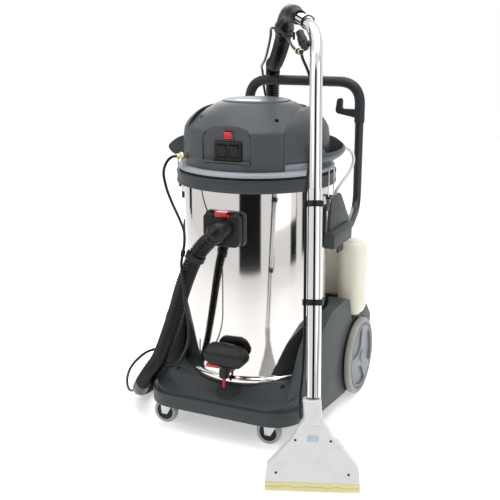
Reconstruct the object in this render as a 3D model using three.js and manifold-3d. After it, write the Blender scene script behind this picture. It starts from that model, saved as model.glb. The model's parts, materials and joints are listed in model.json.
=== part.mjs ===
// Carpet cleaner machine: a spray extraction cleaner on a wheeled trolley.
// A steel drum takes the dirty water, a lift-off head holds the vacuum motors
// and the pump, and a floor wand stands in front on its nozzle.
// Millimetres, +Z up. Shapes are drawn about the drum's axis with the front
// towards -Y, and the whole machine is then moved so that the origin is under
// the middle of its box, on the floor.
import * as THREE from 'three';
import Module from 'manifold-3d';
import { mergeVertices } from 'three/addons/utils/BufferGeometryUtils.js';

const wasm = await Module();
wasm.setup();

// Driving dimensions
const gap = 0.3;
const drumRadius = 220;
const drumFloor = 170;
const drumSeat = 157.7;
const drumWall = 3;
const bandLow = 739;
const bandHigh = 776;
const bandRadius = 242.5;
const headSkirtLow = 797;
const headCrease = 905;
const headTop = 975;
const headRadius = 220;
const topDiscRadius = 102;
const baseHalfWidth = 262;
const baseFront = -300;
const wheelRadius = 128;
const wheelY = 225;
const wheelInner = 263;
const wheelOuter = 288;
const castorRadius = 37.5;
const castorX = 174;
const castorY = -242;
const handleHalfWidth = 200;
const handleY = 386;
const handleTop = 1013;
const suctionHoseRadius = 25;
const solutionHoseRadius = 4;
const supplyTubeRadius = 5;
const wandLowerRadius = 19;
const wandUpperRadius = 17;

// Finishes: colour, roughness, metalness
const finish = (color, roughness, metalness = 0) =>
  new THREE.MeshStandardMaterial({ color, roughness, metalness });
const greyPlastic = finish(0x44484b, 0.5);
const domePlastic = finish(0x5c6064, 0.45);
const darkPlastic = finish(0x2a2c2e, 0.5);
const blackPlastic = finish(0x17181a, 0.4);
const paleGrey = finish(0x9aa0a8, 0.4);
const redPlastic = finish(0xd0201a, 0.35);
const steel = finish(0xd8d8d8, 0.12, 1);
const chrome = finish(0xe6e6e6, 0.06, 1);
const blackTube = finish(0x2a2a2a, 0.4, 0.3);
const naturalPlastic = finish(0xefece2, 0.5);
const tyreGrey = finish(0xa9a9a2, 0.7);
const hubGrey = finish(0x7d8287, 0.5);
const rubber = finish(0x151515, 0.75);
const brass = finish(0xc9b07a, 0.3, 1);
const clearTube = finish(0xd9dde0, 0.2);

const machine = new THREE.Group();
machine.name = 'machine';

function add(name, geometry, material, parent = machine) {
  const mesh = new THREE.Mesh(geometry, material);
  mesh.name = name;
  parent.add(mesh);
  return mesh;
}

// Turn every triangle round if the closed surface encloses a negative volume.
function outward(geometry) {
  const plain = geometry.index ? geometry : mergeVertices(geometry);
  const place = plain.attributes.position;
  const corners = plain.index.array;
  const [a, b, c] = [new THREE.Vector3(), new THREE.Vector3(), new THREE.Vector3()];
  let volume = 0;
  for (let i = 0; i < corners.length; i += 3) {
    a.fromBufferAttribute(place, corners[i]);
    b.fromBufferAttribute(place, corners[i + 1]);
    c.fromBufferAttribute(place, corners[i + 2]);
    volume += a.dot(b.cross(c));
  }
  if (volume < 0) {
    for (let i = 0; i < corners.length; i += 3) {
      [corners[i], corners[i + 1]] = [corners[i + 1], corners[i]];
    }
  }
  return plain;
}

function closed(geometry) {
  const bare = geometry.clone();
  bare.deleteAttribute('normal');
  bare.deleteAttribute('uv');
  return outward(mergeVertices(bare, 1e-3));
}

function solidOf(geometry) {
  const shell = closed(geometry);
  return new wasm.Manifold(new wasm.Mesh({
    numProp: 3,
    vertProperties: new Float32Array(shell.attributes.position.array),
    triVerts: new Uint32Array(shell.index.array),
  }));
}

function geometryOf(solid) {
  const mesh = solid.getMesh();
  const geometry = new THREE.BufferGeometry();
  geometry.setAttribute('position', new THREE.BufferAttribute(mesh.vertProperties, 3));
  geometry.setIndex(new THREE.BufferAttribute(mesh.triVerts, 1));
  return geometry;
}

function join(...pieces) {
  return geometryOf(pieces.map(solidOf).reduce((whole, piece) => whole.add(piece)));
}

function cut(first, ...tools) {
  return geometryOf(tools.map(solidOf).reduce((whole, tool) => whole.subtract(tool), solidOf(first)));
}

function common(first, second) {
  return geometryOf(solidOf(first).intersect(solidOf(second)));
}

function box(x0, x1, y0, y1, z0, z1) {
  const block = new THREE.BoxGeometry(x1 - x0, y1 - y0, z1 - z0);
  return block.translate((x0 + x1) / 2, (y0 + y1) / 2, (z0 + z1) / 2);
}

// A profile of [radius, height] points turned about the Z axis.
function turned(profile, segments = 64) {
  const points = profile.map(([r, z]) => new THREE.Vector2(r, z));
  return closed(new THREE.LatheGeometry(points, segments).rotateX(Math.PI / 2));
}

function ring(inner, outer, low, high, segments = 64) {
  return turned([[inner, low], [outer, low], [outer, high], [inner, high], [inner, low]], segments);
}

function disc(radius, low, high, segments = 32) {
  return turned([[0, low], [radius, low], [radius, high], [0, high]], segments);
}

// A cylinder between two points.
function rod(radius, from, to, segments = 20) {
  const start = new THREE.Vector3(...from);
  const end = new THREE.Vector3(...to);
  const length = start.distanceTo(end);
  const geometry = new THREE.CylinderGeometry(radius, radius, length, segments);
  const along = end.clone().sub(start).normalize();
  geometry.applyQuaternion(new THREE.Quaternion().setFromUnitVectors(new THREE.Vector3(0, 1, 0), along));
  const middle = start.add(end).multiplyScalar(0.5);
  return geometry.translate(middle.x, middle.y, middle.z);
}

// An outline in the XY plane, pulled up from one height to another.
function slab(outline, low, high) {
  const shape = new THREE.Shape(outline.map(([x, y]) => new THREE.Vector2(x, y)));
  return new THREE.ExtrudeGeometry(shape, { depth: high - low, bevelEnabled: false }).translate(0, 0, low);
}

// An outline in the YZ plane, pulled along X.
function sideSlab(outline, x0, x1) {
  const turn = new THREE.Matrix4().set(0, 0, 1, 0, 1, 0, 0, 0, 0, 1, 0, 0, 0, 0, 0, 1);
  return slab(outline, x0, x1).applyMatrix4(turn);
}

// An outline in the XZ plane, pulled along Y.
function frontSlab(outline, y0, y1) {
  const turn = new THREE.Matrix4().set(1, 0, 0, 0, 0, 0, -1, 0, 0, 1, 0, 0, 0, 0, 0, 1);
  return slab(outline, -y1, -y0).applyMatrix4(turn);
}

function arc(centreX, centreY, radius, from, to, steps) {
  const points = [];
  for (let i = 0; i <= steps; i += 1) {
    const angle = THREE.MathUtils.degToRad(from + (to - from) * i / steps);
    points.push([centreX + radius * Math.cos(angle), centreY + radius * Math.sin(angle)]);
  }
  return points;
}

function roundedOutline(x0, x1, y0, y1, radius, steps = 4) {
  return [
    ...arc(x1 - radius, y1 - radius, radius, 0, 90, steps),
    ...arc(x0 + radius, y1 - radius, radius, 90, 180, steps),
    ...arc(x0 + radius, y0 + radius, radius, 180, 270, steps),
    ...arc(x1 - radius, y0 + radius, radius, 270, 360, steps),
  ];
}

function curveThrough(points) {
  return new THREE.CatmullRomCurve3(points.map((point) => new THREE.Vector3(...point)));
}

// A round bar of the given radius along a curve.
function bar(curve, radius, sides, steps) {
  const section = new THREE.Shape(arc(0, 0, radius, 0, 360 * (sides - 1) / sides, sides - 1)
    .map(([x, y]) => new THREE.Vector2(x, y)));
  return closed(new THREE.ExtrudeGeometry(section, { steps, extrudePath: curve, bevelEnabled: false }));
}

// Straight runs between corner points, with a round bend of one radius at each corner.
function bentPath(points, bendRadius) {
  const corners = points.map((point) => new THREE.Vector3(...point));
  const path = new THREE.CurvePath();
  let last = corners[0];
  for (let i = 1; i < corners.length - 1; i += 1) {
    const back = corners[i - 1].clone().sub(corners[i]).normalize();
    const ahead = corners[i + 1].clone().sub(corners[i]).normalize();
    const reach = bendRadius / Math.tan(back.angleTo(ahead) / 2);
    const start = corners[i].clone().add(back.multiplyScalar(reach));
    const end = corners[i].clone().add(ahead.multiplyScalar(reach));
    path.add(new THREE.LineCurve3(last, start));
    path.add(new THREE.QuadraticBezierCurve3(start, corners[i], end));
    last = end;
  }
  path.add(new THREE.LineCurve3(last, corners.at(-1)));
  return path;
}

function mirrored(geometry) {
  return outward(closed(geometry.clone().scale(-1, 1, 1)));
}

// Both sides of the machine: side is -1 on the left and +1 on the right.
function onBothSides(build) {
  build(1, 'right');
  build(-1, 'left');
}

function sided(geometry, side) {
  return side > 0 ? geometry : mirrored(geometry);
}

// Trolley base: a front deck, two side cheeks with wheel wells, and a rear beam
function makeTrolleyBase() {
  const cornerRadius = 95;
  const half = [
    ...arc(baseHalfWidth - 14 - cornerRadius, baseFront + cornerRadius, cornerRadius, -90, -10, 8),
    [baseHalfWidth, -100],
    [baseHalfWidth, 60],
  ];
  const outline = [...half, ...half.map(([x, y]) => [-x, y]).reverse()];
  const bumper = slab(outline, 78, 118);
  const inner = outline.map(([x, y]) => [x * 0.955, y < -100 ? y * 0.965 : y]);
  const deck = common(
    slab(inner, 100, 200),
    sideSlab([[baseFront, 90], [baseFront, 119], [-285, 127], [-235, 147], [-190, 170], [60, 170], [60, 90]],
      -baseHalfWidth, baseHalfWidth),
  );
  const cheekOutline = [
    [-262, 84], [-100, 58], [150, 27], [352, 27], [389, 205], [389, 221], [323, 289], [268, 266], [176, 266],
    [150, 344], [114, 357], [-25, 354], [-100, 318], [-157, 269], [-205, 200], [-262, 132],
  ];
  const cheek = sideSlab(cheekOutline, 206, baseHalfWidth);
  const wheelWell = rod(wheelRadius + 10, [wheelInner - 4, wheelY, wheelRadius],
    [wheelOuter, wheelY, wheelRadius], 28);
  const cheekCutOff = slab([[270, -262], [270, -120], [baseHalfWidth, -120], [233, -215],
    [205, -262]], 0, 400);
  const rightCheek = cut(cheek, wheelWell, cheekCutOff);
  const drumStand = box(-207, 207, 55, 240, 78, drumSeat);
  const rearBeam = box(-207, 207, 225, 352, 60, 150);
  const tankShelf = box(-196, 196, 236, 372, 300, 316);
  const shelfWall = box(-196, 196, 236, 250, 140, 302);
  const dimple = new THREE.SphereGeometry(64, 20, 12).translate(20, -262, 190);
  const drumWell = disc(drumRadius + 9, drumSeat, 500, 36);
  const underside = slab(outline.map(([x, y]) => [x * 0.93, y * 0.93]), 60, 92);
  const castorWell = (x) => disc(45, 60, 92, 18).translate(x, castorY, 0);
  const screwHole = (x) => rod(7, [x, -195, 170], [x, -225, 108], 6);
  const axleHole = rod(11 + gap, [-baseHalfWidth, wheelY, wheelRadius],
    [baseHalfWidth, wheelY, wheelRadius], 20);
  const whole = join(bumper, deck, rightCheek, mirrored(rightCheek), drumStand, rearBeam, tankShelf,
    shelfWall);
  return cut(whole, drumWell, dimple, underside, castorWell(castorX), castorWell(-castorX),
    screwHole(175), screwHole(-175), axleHole);
}
add('trolley_base', makeTrolleyBase(), greyPlastic);

// Rear axle and wheels
add('rear_axle', rod(11, [-wheelOuter + 12, wheelY, wheelRadius], [wheelOuter - 12, wheelY, wheelRadius], 20),
  steel);

function makeRearWheel(side, word) {
  const spin = (geometry) => geometry.rotateY(Math.PI / 2).translate(0, wheelY, wheelRadius);
  const tyre = turned([
    [106, wheelInner], [122, wheelInner], [wheelRadius, wheelInner + 8], [wheelRadius, wheelOuter - 10],
    [122, wheelOuter - 2], [106, wheelOuter - 2], [106, wheelInner],
  ], 28);
  const hub = turned([
    [11 + gap, wheelInner + 1], [106 - gap, wheelInner + 1], [106 - gap, wheelOuter - 5],
    [86, wheelOuter - 2],
    [40, wheelOuter - 3], [22, wheelOuter - 5], [18, wheelOuter], [0, wheelOuter], [0, wheelOuter - 11.7],
    [11 + gap, wheelOuter - 11.7], [11 + gap, wheelInner + 1],
  ], 28);
  add(`wheel_tyre_${word}`, sided(spin(tyre), side), tyreGrey);
  add(`wheel_hub_${word}`, sided(spin(hub), side), hubGrey);
}
onBothSides(makeRearWheel);

// Front castors: a swivel fork under the deck and a small wheel on its axle, both trailing to the left
function makeCastor(side, word) {
  const trail = 22;
  const stand = new THREE.Group();
  stand.position.set(side * castorX, castorY, 0);
  stand.rotation.z = -Math.PI / 2;
  machine.add(stand);
  const crown = box(-15, 15, -trail - 14, 14, 77, 82);
  const stem = disc(8, 80, 91.5, 20);
  const leg = (from) => sideSlab([[-trail - 9, 30], [-trail + 9, 30], [14, 78], [-trail - 14, 78]],
    from, from + 3);
  const axle = rod(4, [-15, -trail, castorRadius], [15, -trail, castorRadius], 12);
  const wheel = turned([[4 + gap, -11], [27, -11], [28, -11.5], [35, -11.5], [castorRadius, -8],
    [castorRadius, 8], [35, 11.5], [28, 11.5], [27, 11], [4 + gap, 11], [4 + gap, -11]], 20);
  add(`castor_fork_${word}`, join(crown, stem, leg(-15), leg(12), axle), steel, stand);
  add(`castor_wheel_${word}`, wheel.rotateY(Math.PI / 2).translate(0, -trail, castorRadius), tyreGrey, stand);
}
onBothSides(makeCastor);

// Drum: an open steel pot with a rolled foot ring, and a plastic band at its mouth
add('drum', turned([
  [0, drumFloor], [drumRadius - 8, drumFloor], [drumRadius - 4, 160], [226, 158], [228, 163], [228, 172],
  [225, 178], [drumRadius, 180], [drumRadius, bandHigh],
  [drumRadius - drumWall, bandHigh], [drumRadius - drumWall, drumFloor + 10],
  [drumRadius - 10, drumFloor + drumWall], [0, drumFloor + drumWall],
], 36), steel);
add('drum_band', turned([
  [drumRadius + gap, bandLow + 6], [238, bandLow], [bandRadius, bandLow + 3], [bandRadius, bandHigh - 3],
  [240, bandHigh], [drumRadius + gap, bandHigh], [drumRadius + gap, bandLow + 6],
], 36), greyPlastic);

// Hose inlet: a flange on the drum, a connector block with an elbow, and a red catch
const inletLow = 588;
const inletHigh = 684;
function aroundDrum(geometry, clearance = gap) {
  return cut(geometry, disc(drumRadius + clearance, 100, 1000, 36));
}
const flangeFront = -236;
add('inlet_flange', aroundDrum(frontSlab(roundedOutline(-55, 65, inletLow - 2, inletHigh + 2, 14),
  flangeFront, -190)), darkPlastic);

const outFrom = (point, direction, distance) => point.map((value, i) => value + direction[i] * distance);
const spigotWay = [-0.66, -0.22, -0.718];
const hoseStart = [0, -291, 626];
const spigotRoot = [22, -255, 645];
const catchNotch = box(-14, 34, -263, -239, inletHigh - 12, inletHigh + 2);
add('hose_connector', cut(
  join(
    frontSlab(roundedOutline(-50, 64, inletLow, inletHigh, 18), -262, flangeFront - gap),
    bar(curveThrough([spigotRoot, outFrom(hoseStart, spigotWay, -16), hoseStart]), 29, 14, 5),
  ),
  catchNotch,
  box(-120, 120, flangeFront - gap, -180, 500, 720),
), darkPlastic);
add('inlet_catch', join(
  box(-13, 33, -259, -241, inletHigh - 11, inletHigh - 2),
  box(-10, 26, -266, -243, inletHigh - 3, inletHigh + 5),
), redPlastic);

// Tilt grip: a saddle grip on a stem at the drum's front, a lever and its bolt
const gripCentre = [24, -258, 262];
const saddleSide = [
  [-286, 240], [-276, 228], [-252, 224], [-240, 240], [-240, 286], [-254, 300], [-274, 294], [-288, 270],
];
const saddle = common(
  sideSlab(saddleSide, gripCentre[0] - 68, gripCentre[0] + 68),
  frontSlab([
    [-44, 262], [-40, 244], [-10, 232], [16, 226], [40, 226], [70, 232], [88, 250], [90, 264], [78, 282],
    [50, 296], [10, 300], [-28, 294], [-42, 280],
  ], -300, -230),
);
const stemOutline = roundedOutline(-3, 25, -268, -242, 8, 3);
add('tilt_grip', cut(
  join(saddle, slab(stemOutline, 186, 240), box(-3, 25, -252, -212, 196, 226)),
  box(-60, 4, -276, -245, 218, 240),
  rod(5 + gap, [11, -255, 150], [11, -255, 230], 12),
  disc(drumRadius + gap, 100, 400, 36),
), darkPlastic);
add('tilt_lever', join(
  box(-40, 3, -273, -249, 221, 230),
  rod(7, [-40, -261, 225.5], [-30, -261, 225.5], 14),
), redPlastic);
add('tilt_bolt', rod(5, [11, -255, 158], [11, -255, 214], 16), redPlastic);

// Push handle: two steel legs from the side brackets and one grip sleeve over the top
const legBend = 70;
const sleeveEnd = 880;
function makeLeg(side, word) {
  const path = bentPath([[232, 166, 566], [222, 250, 566], [handleHalfWidth, handleY, 596],
    [handleHalfWidth, handleY, sleeveEnd - gap]], legBend);
  add(`handle_leg_${word}`, sided(bar(path, 14, 10, 18), side), blackTube);
}
onBothSides(makeLeg);
const hook = frontSlab([
  [handleHalfWidth - 8, 925], [142, 925], [140, 929], [140.5, 950], [139, 956], [134, 959.5], [128, 959],
  [123, 955], [121, 948], [118, 922], [119, 915], [124, 909], [handleHalfWidth - 8, 896],
], handleY - 9, handleY + 9);
add('handle_grip', join(
  bar(bentPath([
    [-handleHalfWidth, handleY, sleeveEnd], [-handleHalfWidth, handleY, handleTop],
    [handleHalfWidth, handleY, handleTop], [handleHalfWidth, handleY, sleeveEnd],
  ], 75), 17, 12, 30),
  hook,
  mirrored(hook),
), greyPlastic);

// Side brackets: a round-topped clamp block for the handle leg under a tall fin
function makeBracket(side, word) {
  const block = frontSlab([
    [223, 546], [257, 546], [257, 580], ...arc(240, 580, 17, 0, 180, 8).slice(1, -1), [223, 580],
  ], -3, 163);
  const fin = sideSlab([[12, 580], [18, 640], [24, 692], [30, 699], [100, 699], [118, 688], [160, 640],
    [212, 586], [205, 560], [150, 560], [100, 575]], 226, 236);
  const bore = bar(bentPath([[232, 164.5, 566], [222, 250, 566], [handleHalfWidth, handleY, 596],
    [handleHalfWidth, handleY, sleeveEnd]], legBend), 14 + 0.8, 10, 18);
  const seat = box(215, 260, 164, 172, 540, 600);
  const tankStay = box(226, 232, 110, 158, 505, 548);
  const whole = cut(join(block, fin, tankStay), bore, seat);
  add(`side_bracket_${word}`, aroundDrum(sided(whole, side)), greyPlastic);
}
onBothSides(makeBracket);

// Detergent tank: a blow-moulded body behind the drum with a lobe over each wheel
function makeTank() {
  const body = slab(roundedOutline(-196, 196, 238, 366, 26), 320, 520);
  const lobe = (side) => sided(join(
    slab(roundedOutline(201, 292, 178, 262, 34), 300, 500),
    slab(roundedOutline(207, 286, 184, 256, 30), 284, 516),
    slab(roundedOutline(219, 274, 196, 244, 22), 273, 527),
  ), side);
  const bridge = (side) => sided(box(180, 240, 240, 262, 330, 500), side);
  return join(body, lobe(1), lobe(-1), bridge(1), bridge(-1), disc(28, 518, 532, 20).translate(0, 300, 0));
}
add('detergent_tank', makeTank(), naturalPlastic);
add('tank_cap', join(
  disc(32, 532 + gap, 552, 20).translate(0, 300, 0),
  box(-28, 28, 296, 304, 551, 558),
), darkPlastic);

// Head: everything here lifts off the drum together
const head = new THREE.Group();
machine.add(head);
const panelX = 76;
const couplingPoint = [-144, -165, 827];
const couplingAway = [-0.668, -0.743, -0.03];
const couplingHole = rod(9.5, outFrom(couplingPoint, couplingAway, -30),
  outFrom(couplingPoint, couplingAway, 40), 20);
add('head_base', join(
  cut(
    join(
      turned([[0, 782], [237, 782], [237, 792], [226, headSkirtLow - gap], [0, headSkirtLow - gap]], 36),
      ring(214, 234, bandHigh + gap, 783, 36),
      ring(198, 212, 790, 836, 36),
    ),
    disc(44, 770, 800, 18),
    box(-panelX - 2, panelX + 2, -260, -150, headSkirtLow, 840),
    couplingHole,
  ),
  ring(44, 49, 716, 790, 18),
), paleGrey, head);

const skirt = [
  [212.3, headSkirtLow], [headRadius, headSkirtLow], [headRadius + 1, 850], [216, headCrease],
];
const frontShell = turned([
  ...skirt, [196, 920], [167, 943], [135, 963], [118, 972], [topDiscRadius + 1, 977.5],
  [topDiscRadius + 1, 972], [132, 958], [164, 938], [192, 916], [209, 901], [212.3, 850],
  [212.3, headSkirtLow],
], 36);
const rearShell = turned([
  ...skirt, [196, 932], [166, 954], [135, 966], [120, 966], [120, 960], [132, 960], [163, 949], [191, 929],
  [210, 903], [212.3, 850], [212.3, headSkirtLow],
], 36);
// The front cover ends at the sides in two nearly straight seams, and passes round behind the top disc.
const seamX = 156;
const seamEdge = -154;
function frontPlan(shift) {
  const halfSide = [[seamX + shift, -300], [153 + shift, -100], ...arc(0, 0, 147 + shift, 0, 90, 8)];
  const otherSide = halfSide.slice(0, -1).map(([x, y]) => [-x, y]).reverse();
  return slab([...halfSide, ...otherSide], 700, 1100);
}
const panelOutline = [
  [-panelX, 818], [panelX, 818], [panelX, 888], [62, 914], [40, 923], [0, 926], [-40, 923], [-62, 914],
  [-panelX, 888],
];
const panelPocket = frontSlab(panelOutline, -300, -196);
const screwRecess = (angle) => {
  const turn = THREE.MathUtils.degToRad(angle);
  const [x, y] = [Math.sin(turn) * 183, -Math.cos(turn) * 183];
  return rod(7, [x, y, 915], [x * 1.1, y * 1.1, 1000], 16);
};
add('head_cover_front', cut(
  common(frontShell, frontPlan(0)), panelPocket, couplingHole, screwRecess(43), screwRecess(-43),
), domePlastic, head);
const rearLift = box(-300, 300, seamEdge, 300, 700, 820);
add('head_cover_rear', cut(rearShell, frontPlan(0.6), rearLift), domePlastic, head);

const topDisc = turned([
  [0, 964], [topDiscRadius, 964], [topDiscRadius, headTop + 4], [95, headTop + 8], [0, headTop + 8],
], 36);
add('top_disc', cut(topDisc, slab(roundedOutline(-42, 42, -84, -44, 10), headTop + 6, headTop + 20)),
  domePlastic, head);

// Control panel: the sunk face that carries the three rocker switches
const panelFace = -204;
const inset = panelX - 1;
const panelPlate = frontSlab(panelOutline.map(([x, z]) => [x * inset / panelX, 870 + (z - 870) * 0.975]),
  panelFace, -197);
const panelLedge = frontSlab([[-inset, 819.5], [inset, 819.5], [inset, 826], [-inset, 826]], -216, -199);
const switchX = 5;
const powerZ = 897.5;
const powerFrame = [16.5, 15];
const pairZ = 852.5;
const pairFrame = [42, 28];
const pairOffset = 19;
// A block around a switch position, as wide and high as two half sizes.
function switchBlock(x, z, [halfWidth, halfHeight], front, back) {
  return box(x - halfWidth, x + halfWidth, front, back, z - halfHeight, z + halfHeight);
}
const wider = (halves, by) => halves.map((half) => half + by);
add('control_panel', cut(
  join(panelPlate, panelLedge, switchBlock(switchX, powerZ, powerFrame, -207, -198)),
  switchBlock(switchX, powerZ, [13, 12.6], -230, -180),
  switchBlock(switchX, pairZ, wider(pairFrame, gap), -220, -190),
), greyPlastic, head);
add('switch_frame', cut(
  switchBlock(switchX, pairZ, pairFrame, -209, -192),
  switchBlock(switchX - pairOffset, pairZ, [14, 18], -230, -180),
  switchBlock(switchX + pairOffset, pairZ, [14, 18], -230, -180),
), blackPlastic, head);
// A rocker has a shallow V face and turns about an axle along X just behind its face.
function makeRocker(name, x, z, halfWidth, halfHeight, face, material) {
  const outline = [
    [face - 4.5, z + halfHeight], [face, z], [face - 1.5, z - halfHeight],
    [face + 9, z - halfHeight * 0.45], [face + 9, z + halfHeight * 0.45],
  ];
  add(name, sideSlab(outline, x - halfWidth, x + halfWidth), material, head);
}
makeRocker('power_rocker', switchX, powerZ, 12.5, 11, -207, redPlastic);
makeRocker('vacuum_rocker', switchX - pairOffset, pairZ, 13.4, 16.5, -208, blackPlastic);
makeRocker('pump_rocker', switchX + pairOffset, pairZ, 13.4, 16.5, -208, blackPlastic);

// Lift wings: scooped hand grips on both sides of the head
function makeWing(side, word) {
  const scoop = turned([
    [headRadius + 2, 800], [256, 820], [268, 836], [266, 845], [261, 843], [250, 830], [headRadius + 2, 812],
    [headRadius + 2, 800],
  ], 36);
  const fullEnd = turned([
    [headRadius + 2, 800], [256, 820], [268, 836], [266, 845], [246, 862], [headRadius + 2, 872],
    [headRadius + 2, 800],
  ], 36);
  const wedge = (from, to) => slab([[0, 0], ...arc(0, 0, 420, from, to, 6)], 700, 1000);
  const scoopPart = common(scoop, wedge(-20, 30));
  const ends = join(common(fullEnd, wedge(-22, -17)), common(fullEnd, wedge(26, 31)));
  add(`lift_wing_${word}`, sided(join(scoopPart, ends), side), domePlastic, head);
}
onBothSides(makeWing);

// Solution coupling on the left front of the head
const couplingTurn = new THREE.Quaternion().setFromUnitVectors(
  new THREE.Vector3(0, 0, 1), new THREE.Vector3(...couplingAway).normalize());
add('solution_coupling', turned([
  [0, -26], [9, -26], [9, 16], [11, 17], [11, 26], [7, 28], [7, 38], [0, 38],
], 18).applyQuaternion(couplingTurn).translate(...couplingPoint), brass, head);

// Inside the head: two vacuum motors and the solution pump
function makeMotor(x) {
  return join(
    disc(62, headSkirtLow, 842, 18).translate(x, 40, 0),
    disc(46, 841, 906, 18).translate(x, 40, 0),
    disc(14, 905, 918, 10).translate(x, 40, 0),
  );
}
add('vacuum_motor_right', makeMotor(115), steel, head);
add('vacuum_motor_left', makeMotor(-115), steel, head);
add('solution_pump', join(
  box(-30, 30, -150, -78, headSkirtLow, 850),
  rod(22, [-60, -114, 826], [-29, -114, 826], 24),
), blackPlastic, head);

// Over-centre latches: a lever pivots on the drum under the band and a wire bail grips the head's edge
function makeLatch(side, word) {
  const angle = THREE.MathUtils.degToRad(-6 * side);
  const holder = new THREE.Group();
  holder.rotation.z = angle;
  machine.add(holder);
  const keeper = cut(box(223, 243, -17, 17, 690, 714), box(229, 260, -12 - gap, 12 + gap, 680, 730));
  const plate = join(keeper, rod(3, [238, -16, 706], [238, 16, 706], 12));
  const lever = cut(
    join(rod(8, [238, -11.5, 706], [238, 11.5, 706], 18), sideSlab([[-11.5, 668], [11.5, 668], [11.5, 706],
      [-11.5, 706]], 236, 244), rod(3, [252, -11.5, 712], [252, 11.5, 712], 12),
    sideSlab([[-11.5, 704], [11.5, 704], [11.5, 714], [-11.5, 714]], 238, 253)),
    rod(3 + gap, [238, -20, 706], [238, 20, 706], 14),
  );
  const wireHeight = 794;
  const bail = bar(bentPath([
    [252, -11.8, 712], [252, -16.5, 712], [252, -16.5, wireHeight], [252, 16.5, wireHeight],
    [252, 16.5, 712], [252, 11.8, 712],
  ], 4), 1.8, 6, 30);
  const flip = (geometry) => sided(geometry, side);
  add(`latch_keeper_${word}`, flip(plate), steel, holder);
  add(`latch_lever_${word}`, flip(lever), blackPlastic, holder);
  add(`latch_bail_${word}`, flip(bail), steel, holder);
}
onBothSides(makeLatch);

// Wand: it stands on its nozzle and leans back over the head
const wand = new THREE.Group();
machine.add(wand);
const lipCentre = [360, -436, 0];
const neckTop = [356, -428, 275];
const tubeTop = [261, -200, 1108];
const between = (from, to, share) => from.map((value, i) => value + (to[i] - value) * share);
const seam = between(neckTop, tubeTop, 0.61);
const nozzle = new THREE.Group();
nozzle.position.set(...lipCentre);
nozzle.rotation.z = THREE.MathUtils.degToRad(21);
wand.add(nozzle);
const lipHalf = 126;
add('nozzle_body', join(
  frontSlab([
    [-lipHalf, 27], [-121, 74], [-58, 148], [-27, 206], [27, 206], [58, 148], [66, 146], [121, 74],
    [lipHalf, 27],
  ], -14, 14),
  rod(24.5, [0, 0, 198], [-5, 6, 262], 28),
), naturalPlastic, nozzle);
add('nozzle_lip', join(
  box(-lipHalf, lipHalf, -13, 13, 8, 27 - gap),
  sideSlab([[-13, 9], [-4, 0], [4, 0], [13, 9]], -lipHalf, lipHalf),
), naturalPlastic, nozzle);
add('wand_lower_tube', rod(wandLowerRadius, neckTop, seam, 16), chrome, wand);
const upperStart = between(neckTop, tubeTop, 0.6103);
const cuffStart = [144, -34, 1217];
add('wand_upper_tube', bar(curveThrough([
  upperStart, between(neckTop, tubeTop, 0.75), between(neckTop, tubeTop, 0.88), tubeTop, [247, -167, 1156],
  [218, -125, 1190], cuffStart,
]), wandUpperRadius, 16, 20), chrome, wand);
const elbowEnd = [52, 82, 1176];
const elbowWay = [-0.339, 0.533, -0.775];
add('hose_elbow', bar(curveThrough([
  outFrom(cuffStart, [-0.57, 0.78, 0.13], 0.8), [116, 2, 1226], [88, 34, 1226],
  outFrom(elbowEnd, elbowWay, -24), elbowEnd,
]), 29, 14, 8), darkPlastic, wand);
const along = (start, end) => {
  const way = new THREE.Vector3(...end).sub(new THREE.Vector3(...start)).normalize();
  return [way.x, way.y, way.z];
};
const tubeWay = along(neckTop, tubeTop);
const lineSide = [-0.91, -0.42, 0];
// A clip round the tube at a share of its length, with an ear that holds the spray line.
function clampAt(name, share) {
  const middle = between(neckTop, tubeTop, share);
  const ends = (reach, length) => [-length, length]
    .map((shift) => outFrom(outFrom(middle, tubeWay, shift), lineSide, reach));
  const reach = wandLowerRadius + 5.4;
  const whole = join(rod(wandLowerRadius + 5, ...ends(0, 8), 16), rod(7, ...ends(reach, 8), 10));
  const bores = [rod(wandLowerRadius + gap, ...ends(0, 20), 16), rod(4 + gap, ...ends(reach, 20), 12)];
  add(name, cut(whole, ...bores), blackPlastic, wand);
}
const clipShares = [0.27, 0.565];
clampAt('line_clip_lower', clipShares[0]);
clampAt('line_clip_upper', clipShares[1]);

// Spray line down the wand, held by the two clips, from the valve to the nozzle
const lineAt = (share, reach) => outFrom(between(neckTop, tubeTop, share), lineSide, reach);
add('spray_line', bar(curveThrough([
  lineAt(0.985, 32), lineAt(0.9, 26), lineAt(0.7, 24.4), lineAt(clipShares[1], 24.4), lineAt(0.42, 24.4),
  lineAt(clipShares[0], 24.4), lineAt(0.17, 24.6), lineAt(0.06, 29), [326, -447, 245], [329, -449, 207],
]), 3.9, 8, 24), rubber, wand);

// Trigger valve under the bend, with its lever
const fittingEnd = [186, -143, 1128];
const fittingWay = [-0.489, 0.872, 0];
add('spray_valve', cut(
  join(
    rod(11, [222, -180, 1136], [196, -156, 1178], 20),
    rod(13, [214, -173, 1148], [206, -165, 1162], 20),
    rod(6, [221, -206, 1128], [190, -150, 1128], 14),
    rod(9, outFrom(fittingEnd, fittingWay, -28), fittingEnd, 6),
    rod(8, [238, -177, 1148], [212, -171, 1152], 14),
  ),
  bar(curveThrough([between(neckTop, tubeTop, 0.88), tubeTop, [247, -167, 1156],
    [218, -125, 1190], cuffStart]),
    wandUpperRadius + 0.8, 16, 14),
), brass, wand);
add('valve_lever', join(
  rod(3.5, [181, -160, 1158], [181, -160, 1178], 12),
  slab([[144, -158], [150, -142], [181, -156], [180, -164]], 1165, 1171),
), blackPlastic, wand);

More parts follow.
